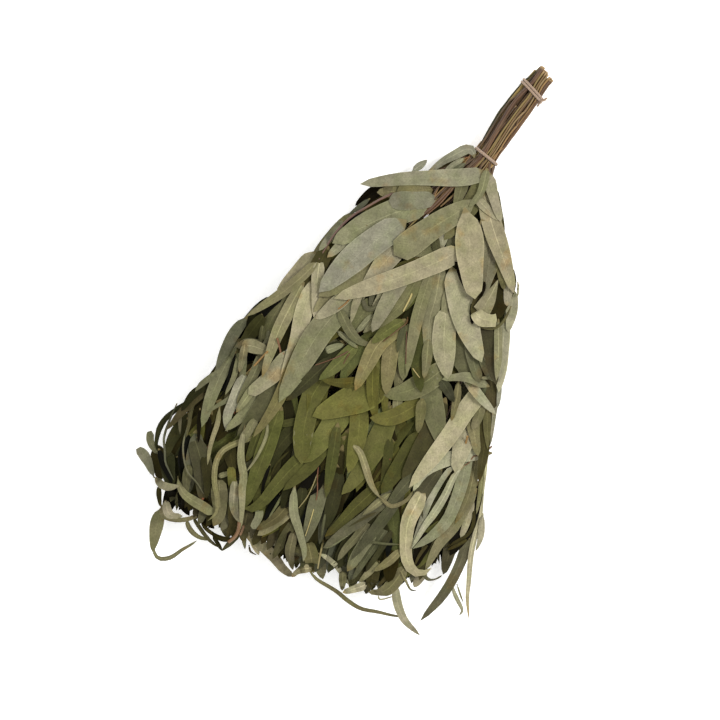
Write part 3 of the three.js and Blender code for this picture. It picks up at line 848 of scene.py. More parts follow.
def finished_shoot(number, twigs, blades):
    wood = swept(f"twig_{number:02d}", twigs, bark, sides=6, crease=1.0)
    foliage = swept(f"leaves_{number:02d}", blades, leaf_skin, sides=8, crease=0.7)
    piece = joined(f"leafy_branch_{number:02d}", [foliage, wood])
    dress(piece, "leaf", f"leafy_shoot_{number:02d}")


SHOOTS = shoot_plan()
# The inner levels take mostly dark tones, which are partly painted shade inside the bunch.
LEVEL_TONES = [
    ["dusk", "sage", "grey"],
    ["dusk", "deep", "moss"],
    ["dusk", "moss", "sage"],
    ["moss", "dusk", "sage"],
    ["dusk", "sage", "moss", "grey"],
]
floor_pile = Pile(0)

for shoot in SHOOTS:
    if shoot.level == ROWS:
        continue
    points, twig = shoot_twig(shoot)
    if shoot.level:
        blades = shoot_leaves(shoot, points, 18, LEVEL_TONES[shoot.level])
    else:
        # The lowest shoots near the handle reach in under those beyond them, so that no gap is left.
        longer = shoot._replace(end=shoot.end + 48) if shoot.end == MIDWAY_X else shoot
        blades = shoot_leaves(longer, points, 24, LEVEL_TONES[0], floor_pile)
    if shoot.level == 1:
        # The second level has leaves that hang down at two heights between the lowest shoots.
        for height, other in ((0.1, 90), (0.4, 360)):
            hanging = shoot._replace(number=shoot.number + other, level=height)
            blades += shoot_leaves(hanging, points, 14, LEVEL_TONES[2])
    finished_shoot(shoot.number, [twig], blades)

# ---- Leafy shoots on top ----
# The outermost shoots lie over the others like shingles, the leaves nearest the handle last. Each
# leaf that shows has its own place, because these are the ones that give the whisk its look. Dark and
# near-black leaves among them are partly painted shade where the gaps between the upper leaves lie in
# shadow.

under, top = Pile(0.62), Pile(0.9)
for line in TWIG_LINES:
    np.maximum.at(top.height, top.cells(line[:, :2]), line[:, 2] + 0.9)

# Where the foliage ends at the far end, from the left to the right.
FRINGE_Y = [-160, -140, -120, -85, -50, -30, 12, 20, 30, 36, 42, 50, 66, 80, 92, 104]
FRINGE_X = [440, 443, 448, 448, 446, 449, 448, 441, 438, 447, 447, 443, 441, 436, 425, 412]
FRINGE_TONES = ["umber", "stone", "slate", "dusk"]


def shade_bed_leaves(shoot):
    """Broad, nearly black leaves half way down, so that no light comes up between the upper ones."""
    made = []
    for k in range(6):
        x = lerp(shoot.start - 6, shoot.end - 80, k // 2 / 2)
        across = lerp(shoot.left, shoot.right, (k % 2 + 0.5) / 2)
        along = (x, min(x + 40, 400), min(x + 80, 420))
        spots = [(far, within_edges(far, fan_y(across, far) * 0.9, 0.85)) for far in along]
        z = [float(surface_z(*spot, 0.5)) + k % 2 for spot in spots]
        # Near black and dark olive: painted shade seen through the gaps between the upper leaves.
        tone = ["deep", "dusk"][k % 2]
        made.append(leaf(under, tone, 26, *spots, form=BROAD, fold=0.05, wave=0.05, steps=9, z=z))
    return made


def fringe_leaves(shoot):
    """Leaf tips side by side that end the foliage in a ragged line."""
    made = []
    low, high = (fan_y(across, 430) for across in (shoot.left, shoot.right))
    for k in range(11):
        y = lerp(low, high, (k + 0.5) / 11)
        if FRINGE_Y[0] < y < FRINGE_Y[-1]:
            x = float(np.interp(y, FRINGE_Y, FRINGE_X)) - scatter(shoot.number * 7 + k, 0, 7)
            plan = [(x - 52, y * 0.94), (x - 24, y * 0.98), (x, y + scatter(k * 5 + shoot.number, -4, 4))]
            tone = FRINGE_TONES[(shoot.number + 3 * k) % 4]
            made.append(leaf(under, tone, 13, *plan, form=BROAD, dip=0, arch=0))
    return made


HIDDEN = {}
TOP_SHOOTS = [shoot for shoot in SHOOTS if shoot.level == ROWS]
for shoot in TOP_SHOOTS:
    points, twig = shoot_twig(shoot)
    # Under-leaves in the darkest tones: painted shade where the gaps between the upper leaves look down
    # into the bunch.
    dark = shoot_leaves(shoot, points, 20, ["shade", "dusk", "deep"], under)
    HIDDEN[shoot.number] = [twig], dark + shade_bed_leaves(shoot) + fringe_leaves(shoot)
for shoot in TOP_SHOOTS:
    points, _ = shoot_twig(shoot)
    # A second row, mostly dark as well: partly painted shade.
    other = shoot._replace(number=shoot.number + 40)
    HIDDEN[shoot.number][1].extend(shoot_leaves(other, points, 10, ["shade", "moss", "dusk"], top))


def top_twig(tone, width, *plan):
    """A bare length of twig that comes up out of the foliage and lies on it."""
    line = curve_through(plan, 14)
    z = top.height[top.cells(line)] + 0.6
    z = smoothed(np.maximum(z, z.max() - 8), 3)
    z -= 14 * np.clip(1 - np.linspace(0, 1, 14) / 0.3, 0, 1) ** 1.5
    radius = np.linspace(width, 0.7 * width, 14) / 2
    return path(np.c_[line, z], radius, radius, seed=width, tone=tone)


def laid(entry, wider=1.0, back=0.0):
    """A leaf from (tone, width, form, place, place, ..., {settings}), laid on top of those before it."""
    tone, width, form, *plan = entry
    settings = plan.pop() if isinstance(plan[-1], dict) else {}
    return leaf(top, tone, width * wider, *plan, form=form, **{"back": back, **settings})


def top_shoot(number, leaves, twigs=()):
    """A shoot whose upper leaves are laid one by one. Each is a little larger than what shows of it."""
    wood, blades = HIDDEN[number]
    for entry in leaves:
        wider, back = (1.1, 0.0) if entry[2] == STRAP else (1.15, 0.2)
        blades.append(laid(entry, wider, back))
    wood.extend(top_twig(*twig) for twig in twigs)
    finished_shoot(number, wood, blades)


# The far left: grey, strap-like leaves that hang out past the edge, with deep shadow between them,
# partly cast and partly painted by near-black leaves.
top_shoot(26, [
    ("sage", 4, STRAP, (483, -152), (491, -148), (494.5, -141), (489, -131), (478, -124), (470, -118),
     (463, -113.5)),
    ("sage", 12, LANCE, (446, -159), (462, -157), (476, -154), (491, -150), {"back": 0}),
    ("deep", 7, BROAD, (428, -158), (438, -157), (449, -155)),
    ("deep", 9, BROAD, (428, -155), (437, -152), (446, -149)),
    ("grey", 4, LANCE, (428, -149), (436, -146), (443, -144)),
    ("deep", 10, LANCE, (426, -146), (435, -139), (443, -130)),
    ("deep", 3, STRAP, (425, -146), (434, -141), (441, -137)),
    ("dusk", 5, STRAP, (426, -170), (436, -166), (446, -160)),
    ("sage", 5, STRAP, (446, -132), (452, -128), (457, -121), (459, -112), (457, -101)),
    ("grey", 4, STRAP, (442, -128), (450, -116), (457, -104), (461, -91)),
    ("dusk", 4, STRAP, (443, -118), (449, -108), (452, -91)),
    ("ash", 7, STRAP, (444, -160), (452, -154), (454, -147), (451, -138), (446, -130), (438, -120)),
    ("shade", 14, BROAD, (418, -128), (434, -120), (446, -109)),
    ("deep", 10, BROAD, (426, -124), (438, -114), (445, -102)),
    ("dusk", 13, BROAD, (396, -184), (408, -178), (422, -170)),
    ("dusk", 14, BROAD, (398, -172), (410, -166), (424, -158)),
    ("sage", 8, WIDE_TIP, (399, -181), (394, -190), (388, -195.5), (380, -198), {"back": 0}),
    ("pale", 9, WIDE_TIP, (422, -177), (415, -184), (409, -190), (404, -198), (403, -205), {"back": 0}),
    ("dusk", 5.5, STRAP, (338, -177), (352, -184), (361, -189), (372, -191.5), (383, -190.5), (393, -187),
     (397, -180)),
    ("dusk", 11, BROAD, (356, -171), (370, -174), (384, -175.5), (399, -174)),
    ("deep", 6, BROAD, (398, -180), (406, -173), (414, -164), (420, -158)),
    ("stone", 2.3, STRAP, (345, -185), (360, -185.5), (373, -185), (383, -183), (394, -177), (403, -172.5),
     (410, -165), (416, -158), {"steps": 20}),
    ("shade", 4, STRAP, (352, -170), (372, -166), (390, -161), (405, -156), (414, -152)),
    ("deep", 14, BROAD, (374, -158), (392, -156), (410, -150)),
    ("stone", 14, BROAD, (372, -152), (390, -148), (408, -144), (424, -139)),
    ("slate", 17, BROAD, (376, -150), (390, -139), (406, -131), (424, -124)),
    ("grey", 8, BROAD, (400, -149), (412, -146), (424, -141)),
    ("dusk", 8, BROAD, (386, -137), (396, -131), (408, -125), (420, -121)),
    ("stone", 1.8, STRAP, (358, -166.5), (374, -164.5), (384, -161.5), (396, -154.5), (404, -147),
     (409.5, -135.5), (417, -125), {"steps": 20, "arch": 3}),
    ("sage", 9, WIDE_TIP, (411, -156), (419, -150.5), (425, -142), (427.5, -131), (429, -120), (432, -108),
     {"back": 0}),
    ("pale", 7, BROAD, (421, -176), (425, -168), (424, -159), (419, -150.5), {"back": 0}),
    ("dusk", 11, BROAD, (364, -119), (374, -114), (386, -106)),
    ("grey", 14, BROAD, (424, -100), (438, -92), (448, -85)),
    ("sage", 14, BROAD, (404, -114), (418, -107.5), (430, -103), (443, -104)),
    ("ash", 5, STRAP, (396, -119), (390.5, -113), (387, -107)),
    ("olive", 8, BROAD, (385, -109), (395, -104), (407, -98.5)),
    ("stone", 4, STRAP, (330, -173), (351, -178), (361, -175), (372, -170)),
    ("grey", 3.5, STRAP, (334, -169), (347, -169), (358, -166), (372, -163)),
    ("deep", 4, STRAP, (340, -162), (354, -157), (372, -150)),
    ("deep", 4.5, STRAP, (343, -151), (355, -146), (372, -141)),
    ("ash", 4.5, STRAP, (330, -145), (347, -140), (360, -139), (374, -137), (389, -133)),
    ("sage", 5.5, STRAP, (326, -83), (336, -91), (346, -102), (358, -115), (370, -124.5), (384, -126),
     (401, -120.5), (415, -111.5), (429, -106.5), (440, -111), {"steps": 24}),
    ("dusk", 9, BROAD, (282, -157), (306, -162), (338, -170)),
    ("slate", 8, BROAD, (322, -164), (348, -176), (373, -184)),
    ("shade", 8, BROAD, (318, -166), (332, -174), (350, -178)),
    ("deep", 16, BROAD, (262, -152), (290, -150), (318, -150)),
    ("dusk", 18, BROAD, (234, -130), (256, -140), (284, -148), {"z": [16, 16, 14]}),
    ("sage", 13, BROAD, (276, -154), (300, -156), (325, -156), (357, -153), {"fold": 0.2}),
    ("sage", 6, LANCE, (304, -162), (318, -170), (327, -173)),
    ("umber", 7, LANCE, (288, -143), (305, -142), (323, -143)),
    ("deep", 3, STRAP, (274, -151), (292, -149), (309, -146), (324, -148)),
    ("sage", 5.5, STRAP, (270, -141), (290, -137), (300, -134), (312, -136), (322, -140), (331, -147),
     (341, -153)),
    ("dove", 10.5, BROAD, (300, -134), (322, -134), (336, -134), (351, -128)),
    ("sage", 5, STRAP, (270, -147), (286, -145), (300, -143), (318, -144)),
    ("sage", 9, BROAD, (272, -126), (292, -126), (322, -130)),
    ("ash", 11, BROAD, (298, -110), (325, -118), (351, -130)),
    ("grey", 14, BROAD, (288, -103), (318, -107), (352, -117)),
    ("sage", 9, BROAD, (262, -118), (265, -132), (270, -148)),
])

# The far left of the middle: long olive and grey leaves that end beside a short brown twig.
top_shoot(27, [
    ("sage", 8, BROAD, (332, -107), (345, -109), (360, -111)),
    ("ash", 8, BROAD, (302, -121), (315, -124), (330, -127)),
    ("dusk", 4, STRAP, (452, -101), (457, -94), (462.5, -86.5)),
    ("grey", 5, LANCE, (443, -78), (454, -83), (463, -87)),
    ("shade", 5, STRAP, (450, -104), (451.5, -94), (449, -84), (443, -79)),
    ("sage", 4, LANCE, (440, -72), (446, -69.5), (452, -66)),
    ("slate", 2, STRAP, (447, -64), (452, -60), (453, -53)),
    ("cream", 7, LANCE, (438, -64), (446, -57), (452, -51)),
    ("umber", 13, BROAD, (416, -92), (434, -84), (448, -79)),
    ("grey", 12, BROAD, (418, -78), (432, -75), (446, -71)),
    ("dove", 8, BROAD, (438, -158), (449, -149), (446, -136), {"back": 0}),
    ("pale", 10, (0.2, 0.35), (437, -75), (439, -62), (443, -48), (449, -34), (454, -26), (457, -17),
     (458, -10), {"back": 0}),
    ("dusk", 12, BROAD, (405, -34), (425, -35), (447, -31)),
    ("ash", 11, BROAD, (401, -42), (412, -47), (422, -52), (434, -60)),
    ("grey", 10, BROAD, (398, -45), (409, -49), (420, -56), (429, -63)),
    ("pale", 4.5, LANCE, (439, -52), (436, -44), (432, -33), (429, -19), {"back": 0}),
    ("ash", 8, (0.1, 0.2), (409, -68), (418, -65.5), (430, -67), {"fold": 0.3, "back": 0}),
    ("deep", 6, LANCE, (392, -56), (405, -58.5), (418, -59)),
    ("fern", 2.5, STRAP, (380, -52), (398, -54), (414, -56.5)),
    ("shade", 8, BROAD, (372, -52), (386, -50), (400, -48)),
    ("dusk", 14, BROAD, (318, -66), (345, -75), (374, -78)),
    ("ivy", 7, LANCE, (314, -68), (321, -78), (326, -88)),
    ("ivy", 9, BROAD, (336, -99), (356, -98), (371, -99)),
    ("moss", 16, BROAD, (322, -88), (350, -86), (380, -84), (415, -82.5)),
    ("deep", 3.5, STRAP, (364, -76), (380, -75), (396, -72)),
    ("moss", 14, BROAD, (334, -42), (358, -54), (385, -63.5), (400, -68), (411, -75), (415, -84)),
    ("deep", 9, LANCE, (350, -32), (372, -36), (398, -45)),
    ("moss", 11, BROAD, (322, -32), (350, -38), (383, -54)),
    ("pale", 8.5, BROAD, (398, -100), (412, -95), (421, -90), (429, -82)),
    ("ash", 7, STRAP, (338, -114), (355, -110.5), (371, -104.5), (385, -95.5), (397, -92), (410, -86.5),
     (421, -82.5), (435, -78), {"steps": 20}),
    ("dusk", 2.5, STRAP, (343, -63), (360, -70), (375, -71)),
    ("ash", 3, STRAP, (322, -98), (333, -92), (345, -90), (364, -91), (381, -95)),
    ("olive", 21, BROAD, (286, -31), (305, -34), (322, -38), (350, -46)),
    ("olive", 19, (0.2, 0.3), (262, -60), (285, -64), (302, -62), (322, -58), (352, -47)),
], [
    ("#6E5136", 4.5, (424, -83), (436, -79.5), (444, -80), (452, -84)),
    ("#8A6A4E", 3, (428, -77), (435, -76), (441, -76)),
])

# The far middle: olive leaves round a rust-coloured twig, with paler tips at the far end.
top_shoot(28, [
    ("ash", 11, BROAD, (428, 4), (440, 11), (449, 17)),
    ("fern", 13, BROAD, (424, -9), (434, -2), (447, 6)),
    ("grey", 9, BROAD, (412, -33), (430, -35), (450, -37)),
    ("grey", 8, LANCE, (426, -20), (438, -15), (450, -12)),
    ("sage", 11, BROAD, (424, 40), (436, 44), (447, 47)),
    ("stone", 10, BROAD, (424, 57), (436, 60), (446, 62)),
    ("deep", 8, LANCE, (420, -30), (434, -27), (446, -27)),
    ("stone", 9, BROAD, (422, -27), (438, -23.5), (452, -14)),
    ("sage", 4.5, STRAP, (443, -4), (448, 4), (451.5, 12), (453.5, 25), (455.5, 36), (459, 47), (461.5, 63),
     (458, 80), (455.5, 95), (451.5, 109), {"steps": 22}),
    ("pale", 7.5, BROAD, (443, 3), (447, -5), (452, -10), (459, -12), {"back": 0}),
    ("dusk", 9, BROAD, (376, -36), (390, -32), (404, -27)),
    ("deep", 4, STRAP, (378, -26), (396, -24.5), (410, -25)),
    ("slate", 9, LANCE, (380, -10), (398, -4), (418, 0)),
    ("dusk", 13, BROAD, (352, -8), (376, -4), (402, 0)),
    ("sage", 14, BROAD, (366, -20), (385, -18), (400, -16), (425, -14.5)),
    ("grey", 2.5, STRAP, (386, -7), (400, -3.5), (413, 0)),
    ("ash", 8, STRAP, (372, -46), (387, -41), (400, -35), (410, -26.5), (422, -17), (431, -10.5),
     (440, -8)),
    ("umber", 10, BROAD, (384, 12), (398, 7), (411, 4)),
    ("ash", 8.5, BROAD, (392, 22), (404, 15), (420, 6)),
    ("cream", 5, STRAP, (427, 2), (427.5, 12), (431, 23), (438, 34), (444, 43)),
    ("moss", 10, BROAD, (312, -27), (340, -20), (373, -12)),
    ("deep", 5, LANCE, (352, -24), (366, -23), (378, -28)),
    ("ivy", 12, BROAD, (346, 30), (372, 18), (392, 10), (409, 2)),
    ("sage", 8, BROAD, (384, 35), (398, 31), (411, 26), (426, 23)),
    ("stone", 11, BROAD, (350, 43), (378, 30), (398, 17), (420, 5)),
    ("sage", 6, LANCE, (348, 43), (362, 35), (375, 28)),
    ("fresh", 14, BROAD, (275, 8), (300, 6), (330, 3), (350, 0)),
    ("olive", 19, BROAD, (278, 14), (310, 13), (345, 7), (364, 1)),
], [
    ("#5E341C", 1.5, (340, -33), (354, -29), (371, -22), (379, -20)),
    ("#B0A468", 1.2, (379, -20), (398, -17.5), (416, -16)),
    ("#8A8455", 1.5, (342, -30), (356, -29), (377, -29), (393, -33)),
    ("#8A8455", 2, (412, 2), (428, 5), (441, 8)),
])

# The far right of the middle: darker leaves, whose tones partly paint the shadow of the pale spray beside
# them.
top_shoot(29, [
    ("sage", 7, BROAD, (436, 33), (444, 36), (452, 39)),
    ("dove", 8, LANCE, (427, 86), (439, 92.5), (449.5, 101), (457, 111.5), (463, 128), {"back": 0.1}),
    ("cream", 1.6, STRAP, (441, 73), (445.5, 77.5), (437, 88.5)),
    ("umber", 13, BROAD, (414, 56), (426, 61), (439, 63)),
    ("ash", 6, BROAD, (415, 60), (428, 55), (438, 51)),
    ("sage", 12, BROAD, (412, 86), (428, 82), (437, 76), (443, 63)),
    ("umber", 4, STRAP, (408, 78), (422, 74), (434, 70)),
    ("dove", 8, BROAD, (436, 59), (443, 52), (453.5, 40), {"back": 0}),
    ("sage", 2.2, STRAP, (409, 82), (417, 92), (424.5, 101), (423, 107)),
    ("dove", 8.5, BROAD, (404, 107), (413, 104.5), (421, 103.5)),
    ("shade", 14, BROAD, (398, 70), (412, 74), (426, 78)),
    ("tan", 7.5, BROAD, (396, 75), (405, 71), (412, 67), (421.5, 60.5)),
    ("deep", 6, LANCE, (386, 62), (396, 65), (404, 67)),
    ("grey", 7, BROAD, (384, 54), (410, 48.5), (438, 44)),
    ("umber", 6, BROAD, (384, 60), (404, 57), (426, 53)),
    ("sage", 12, BROAD, (390, 43), (405, 40), (432, 36)),
    ("grey", 2.5, STRAP, (387, 74), (393, 57), (399, 33)),
    ("grey", 10, LANCE, (345, 55), (380, 46), (420, 35)),
    ("grey", 11, BROAD, (316, 61), (335, 54), (360, 47)),
    ("slate", 14, BROAD, (310, 79), (335, 73), (364, 66)),
    ("ivy", 8, LANCE, (298, 25), (322, 31), (343, 35)),
    ("ivy", 16, BROAD, (286, 48), (320, 42), (348, 37)),
    ("umber", 16, BROAD, (250, 58), (285, 56), (326, 50)),
])

# The far right: a pale spray that fans out from one twig, with curled ends.
top_shoot(30, [
    ("sage", 1.8, STRAP, (402, 142), (409, 148), (416.5, 155)),
    ("dove", 4, STRAP, (404, 138.5), (410, 142), (416, 148.5), (424, 157), (430, 156)),
    ("stone", 3.5, STRAP, (404, 104), (408, 113), (405, 120), (399, 124.5)),
    ("slate", 12, BROAD, (360, 119), (380, 122.5), (398, 125)),
    ("stone", 11, (0.2, 0.5), (352, 133), (375, 136), (400, 135.5), (420, 132), (436, 127), (450, 122.5)),
    ("cream", 5.5, STRAP, (270, 120), (302, 127), (321, 133), (336, 138), (348, 139), (363, 141.5),
     (376, 145), (396, 152), (411, 157), (430, 167), {"steps": 24}),
    ("deep", 18, BROAD, (312, 122), (345, 126), (378, 124)),
    ("dove", 6, LANCE, (333, 140), (350, 145), (364, 146)),
    ("sage", 4.5, STRAP, (276, 118), (294, 123), (312, 128), (330, 132)),
    ("cream", 8, BROAD, (322, 122), (340, 126), (358, 127)),
    ("dusk", 3.5, STRAP, (322, 126), (340, 133), (352, 132), (363, 124), (373, 116)),
    ("dusk", 3.5, STRAP, (355, 135), (365, 127), (374, 119)),
    ("ash", 10.5, BROAD, (322, 120), (350, 116), (372, 109), (402, 107)),
    ("sage", 9.5, BROAD, (276, 109), (300, 115), (322, 118), (347, 116)),
    ("deep", 12, BROAD, (370, 96), (384, 95), (402, 96)),
    ("umber", 3, STRAP, (374, 100), (388, 96), (402, 95)),
    ("cream", 14, (0.12, 0.5), (344, 73), (362, 72), (380, 77), (397, 85), (406, 96), (404, 106),
     (396, 112)),
    ("ash", 12, BROAD, (286, 102), (305, 106), (325, 108), (345, 108), (358, 104), (370, 98), (386, 87)),
    ("cream", 6, STRAP, (288, 99), (300, 90), (320, 86), (340, 84), (362, 85), (387, 86)),
    ("cream", 7, STRAP, (290, 102), (303, 97), (325, 96), (345, 93), (362, 89), (386, 86)),
    ("cream", 12, BROAD, (275, 109), (283, 94), (297, 78), (313, 68), (334, 65)),
], [
    ("#5E3E20", 1.8, (262, 120), (270, 116), (275, 112), (278, 107), (286, 105), (290, 102)),
])

# The near left: a grey spray that fans out along the edge.
top_shoot(22, [
    ("deep", 12, STRAP, (200, -127), (226, -140), (262, -154)),
    ("shade", 10, BROAD, (208, -136), (232, -149), (262, -159), {"back": 0}),
    ("stone", 11, LANCE, (240, -155), (264, -160.5), (300, -162), {"back": 0.05}),
    ("umber", 14, LANCE, (190, -121), (225, -127), (262, -130)),
    ("fern", 12, BROAD, (195, -122), (218, -129), (240, -131), (257, -126)),
    ("deep", 9, STRAP, (204, -129), (222, -139), (246, -147)),
    ("dusk", 12, BROAD, (236, -141), (256, -146), (276, -149)),
    ("shade", 12, BROAD, (230, -118), (250, -112), (270, -108)),
    ("grey", 5, STRAP, (238, -137), (250, -134), (264, -132)),
    ("stone", 4, STRAP, (240, -130), (252, -127), (262, -131)),
    ("stone", 10, STRAP, (258, -128), (262, -142), (270, -153)),
    ("ash", 12, BROAD, (268, -149), (263, -138), (262, -119), {"back": 0}),
    ("pale", 15, (0.2, 0.3), (262, -104), (280, -107), (292, -113), (309, -123)),
    ("ash", 7, STRAP, (262, -146), (275, -143), (292, -140)),
    ("sage", 10, BROAD, (100, -97), (112, -101.5), (140, -112), (166, -118), {"back": 0}),
    ("pale", 13, BROAD, (152, -117), (178, -126), (206, -136), {"back": 0}),
    ("stone", 12, BROAD, (156, -109), (182, -112), (210, -115)),
    ("umber", 16, BROAD, (154, -108), (182, -110), (214, -115)),
    ("ash", 12, BROAD, (192, -117), (215, -119), (240, -120), (288, -117), {"back": 0.1}),
    ("slate", 4, STRAP, (192, -101), (208, -96), (222, -93)),
    ("cream", 15, BROAD, (186, -107), (215, -104), (245, -99), (285, -97), {"back": 0.1}),
    ("dove", 11, BROAD, (156, -110), (172, -106), (193, -99), (216, -89), {"fold": 0.25, "back": 0}),
    ("ash", 9.5, BROAD, (156, -111), (172, -116), (192, -125.5), (214, -138.5), (238, -155),
     {"fold": 0.2, "back": 0}),
])

# The near left of the middle: mottled sage leaves from a yellow twig.
top_shoot(23, [
    ("ash", 9, BROAD, (180, -87), (193, -91), (208, -95)),
    ("fern", 12, BROAD, (250, -94), (285, -93), (315, -95), (346, -102)),
    ("dusk", 15, BROAD, (232, -60), (256, -70), (280, -77)),
    ("umber", 12, BROAD, (250, -63), (272, -73), (300, -86)),
    ("sage", 7, LANCE, (238, -68), (232, -62), (226, -55)),
    ("olive", 13, BROAD, (214, -36), (238, -41), (260, -44)),
    ("olive", 12, BROAD, (228, -46), (250, -55), (268, -64)),
    ("fern", 15, BROAD, (180, -48), (196, -51), (212, -58)),
    ("moss", 10, BROAD, (188, -28), (200, -33), (213, -40)),
    ("ash", 7, LANCE, (190, -40), (202, -45), (211, -49)),
    ("sage", 6, LANCE, (188, -37), (199, -38), (208, -42)),
    ("ash", 5, STRAP, (216, -67), (220, -54), (224, -41)),
    ("ash", 24, BROAD, (176, -66), (210, -78), (240, -85), (304, -92)),
    ("pale", 13, BROAD, (178, -70), (196, -80), (214, -91)),
    ("sage", 9, BROAD, (200, -68), (211, -55), (217, -42), (216, -30)),
    ("stone", 5, STRAP, (162, -50), (172, -48), (181, -46)),
    ("pale", 6, STRAP, (154, -40), (170, -41), (184, -43)),
    ("stone", 5, STRAP, (166, -38), (180, -41), (184, -48), (176, -57)),
    ("pale", 7, LANCE, (164, -60), (184, -60), (204, -57)),
    ("sage", 22, BROAD, (118, -52), (152, -68), (192, -97)),
    ("cream", 18, BROAD, (110, -42), (136, -50), (166, -60)),
], [
    ("#86602E", 1.8, (170, -64), (187, -69), (196, -74)),
    ("#4E2C1A", 1.5, (222, -42), (240, -56), (256, -73)),
    ("#4E2C1A", 1.2, (228, -45), (235, -47), (244, -48)),
])

# The near middle: an olive spray under the end of a yellow stalk.
top_shoot(24, [
    ("dusk", 26, BROAD, (208, -4), (236, 8), (268, 16), {"z": [34, 34, 34]}),
    ("umber", 24, BROAD, (222, -27), (246, -31), (276, -35), {"z": [34, 34, 34]}),
    ("sage", 9, BROAD, (224, 2), (238, 9), (252, 14)),
    ("ash", 9, BROAD, (248, 13), (260, 17), (274, 20)),
    ("olive", 17, BROAD, (272, -20), (296, -9), (318, -4), (342, -1)),
    ("olive", 28, BROAD, (236, -10), (262, -15), (280, -32), (304, -56)),
    ("moss", 9, BROAD, (254, -26), (262, -42), (267, -61)),
    ("moss", 7, LANCE, (250, -2), (264, 5), (277, 11)),
    ("moss", 11, BROAD, (240, -18), (262, -9), (282, 3)),
    ("olive", 16, BROAD, (248, 38), (266, 25), (277, 13), (283, -3)),
    ("fern", 20, BROAD, (222, 36), (242, 46), (262, 60), (282, 73)),
    ("fern", 20, BROAD, (212, 44), (230, 33), (245, 20), (257, 1)),
    ("olive", 13, BROAD, (196, 12), (214, 19), (232, 29)),
    ("ivy", 14, BROAD, (180, 8), (200, 14), (220, 22), (240, 34)),
    ("fern", 13, BROAD, (188, 0), (210, 4), (236, 13)),
    ("tan", 15, BROAD, (196, -14), (220, -8), (240, -2), (256, 3)),
    ("tan", 16, BROAD, (192, -14), (214, -24), (238, -26), (264, -27)),
    ("olive", 11, BROAD, (186, -13), (198, -22), (214, -30)),
    ("grey", 5, LANCE, (188, -7), (200, -6), (213, -3)),
    ("moss", 17, BROAD, (140, -10), (157, -14), (174, -16)),
    ("fern", 13, BROAD, (142, -14), (170, -19), (203, -36)),
    ("pale", 15, BROAD, (142, -28), (172, -32), (204, -34)),
    ("ash", 13, BROAD, (128, 6), (150, 11), (172, 14), (206, 27)),
    ("sage", 11, BROAD, (130, -3), (160, 0), (186, 4), (230, 14)),
], [
    ("#B0A468", 2.4, (147, -13), (158, -12.6), (173, -13.7)),
    ("#4A361C", 1.7, (170, -11), (181, -6), (191, -11), (208, -20)),
    ("#4A2C1A", 1.4, (181, -6), (197, 0), (220, 9)),
    ("#B0A468", 1.4, (219, 14), (223, 20), (227, 27)),
])

# The near right: broad pale leaves, one folded back on itself at the edge.
top_shoot(25, [
    ("sage", 9, BROAD, (194, 22), (210, 27), (226, 31)),
    ("ash", 8, BROAD, (136, 20), (150, 22), (166, 27)),
    ("fern", 9, BROAD, (250, 39), (263, 43), (278, 47)),
    ("dove", 7, LANCE, (210, 102), (234, 109), (262, 118), {"back": 0.1}),
    ("umber", 10, LANCE, (226, 100), (250, 108), (286, 118)),
    ("umber", 10, BROAD, (240, 104), (262, 112), (300, 122)),
    ("fern", 7, LANCE, (230, 101), (248, 109), (266, 117)),
    ("cream", 19, BROAD, (244, 86), (270, 92), (300, 96)),
    ("sage", 11, BROAD, (240, 89), (256, 98), (276, 111)),
    ("ash", 10, BROAD, (224, 92), (240, 96), (254, 95)),
    ("cream", 17, BROAD, (212, 90), (240, 82), (270, 76), (332, 60), {"fold": 0.2}),
    ("ash", 6.5, STRAP, (314, -12), (317, 0), (327, 10), (343, 24), (352, 37)),
    ("sage", 4, STRAP, (350, 34), (354, 44), (355.5, 50), (352, 56), (343, 63), (332, 65)),
    ("sage", 7, STRAP, (214, 64), (232, 69), (254, 73)),
    ("slate", 16, BROAD, (192, 86), (208, 97), (228, 106)),
    ("dove", 5, STRAP, (192, 92), (204, 103), (224, 110)),
    ("grey", 6, WEDGE, (203, 92), (212, 91), (221, 90), {"back": 0}),
    ("cream", 10, BROAD, (200, 60), (213, 76), (222, 92), (231, 111)),
    ("fern", 17, BROAD, (168, 32), (188, 51), (203, 67), (216, 78)),
    ("slate", 9, BROAD, (220, 46), (227, 57), (236, 68), {"back": 0}),
    ("ash", 9, BROAD, (208, 86), (208, 71), (213, 59), (220, 48)),
    ("sage", 13, BROAD, (178, 62), (194, 72), (208, 84)),
    ("ash", 14, BROAD, (168, 70), (184, 80), (202, 95)),
    ("cream", 13, LANCE, (150, 86), (176, 94), (210, 105)),
    ("cream", 11, BROAD, (146, 84), (170, 92), (200, 101), {"back": 0.1}),
    ("cream", 11, BROAD, (110, 79), (130, 85), (151, 90), {"back": 0}),
    ("ash", 3, STRAP, (178, 78), (188, 91), (198, 96), {"arch": 3}),
    ("ash", 3, STRAP, (204, 82), (201, 89), (196, 96), {"arch": 3}),
    ("slate", 13, BROAD, (150, 64), (176, 80), (204, 100)),
    ("ash", 8, LANCE, (152, 80), (176, 90), (200, 98)),
    ("pale", 21, BROAD, (158, 26), (187, 36), (218, 53), {"back": 0.1}),
    ("cream", 23, BROAD, (117, 16), (138, 31), (163, 52), (189, 78), {"fold": 0.14, "back": 0.05}),
    ("deep", 6, STRAP, (136, 46), (146, 50), (158, 54)),
    ("shade", 20, BROAD, (88, 59), (112, 69), (146, 73), {"back": 0}),
    ("dove", 9, BROAD, (98, 68), (112, 74), (128, 79), {"back": 0}),
    ("umber", 14, BROAD, (90, 57), (116, 52), (150, 50), {"back": 0}),
    ("grey", 2.6, STRAP, (126, 83), (138, 82.5), (148, 80), (155, 73), (158, 60), {"arch": 4}),
    ("pale", 17, WEDGE, (103, 61), (124, 60), (145, 57), {"back": 0, "arch": 4}),
    ("cream", 13, (0.05, 0.06), (145, 52), (149, 59), (148, 67), (144, 75), {"back": 0, "arch": 5}),
])
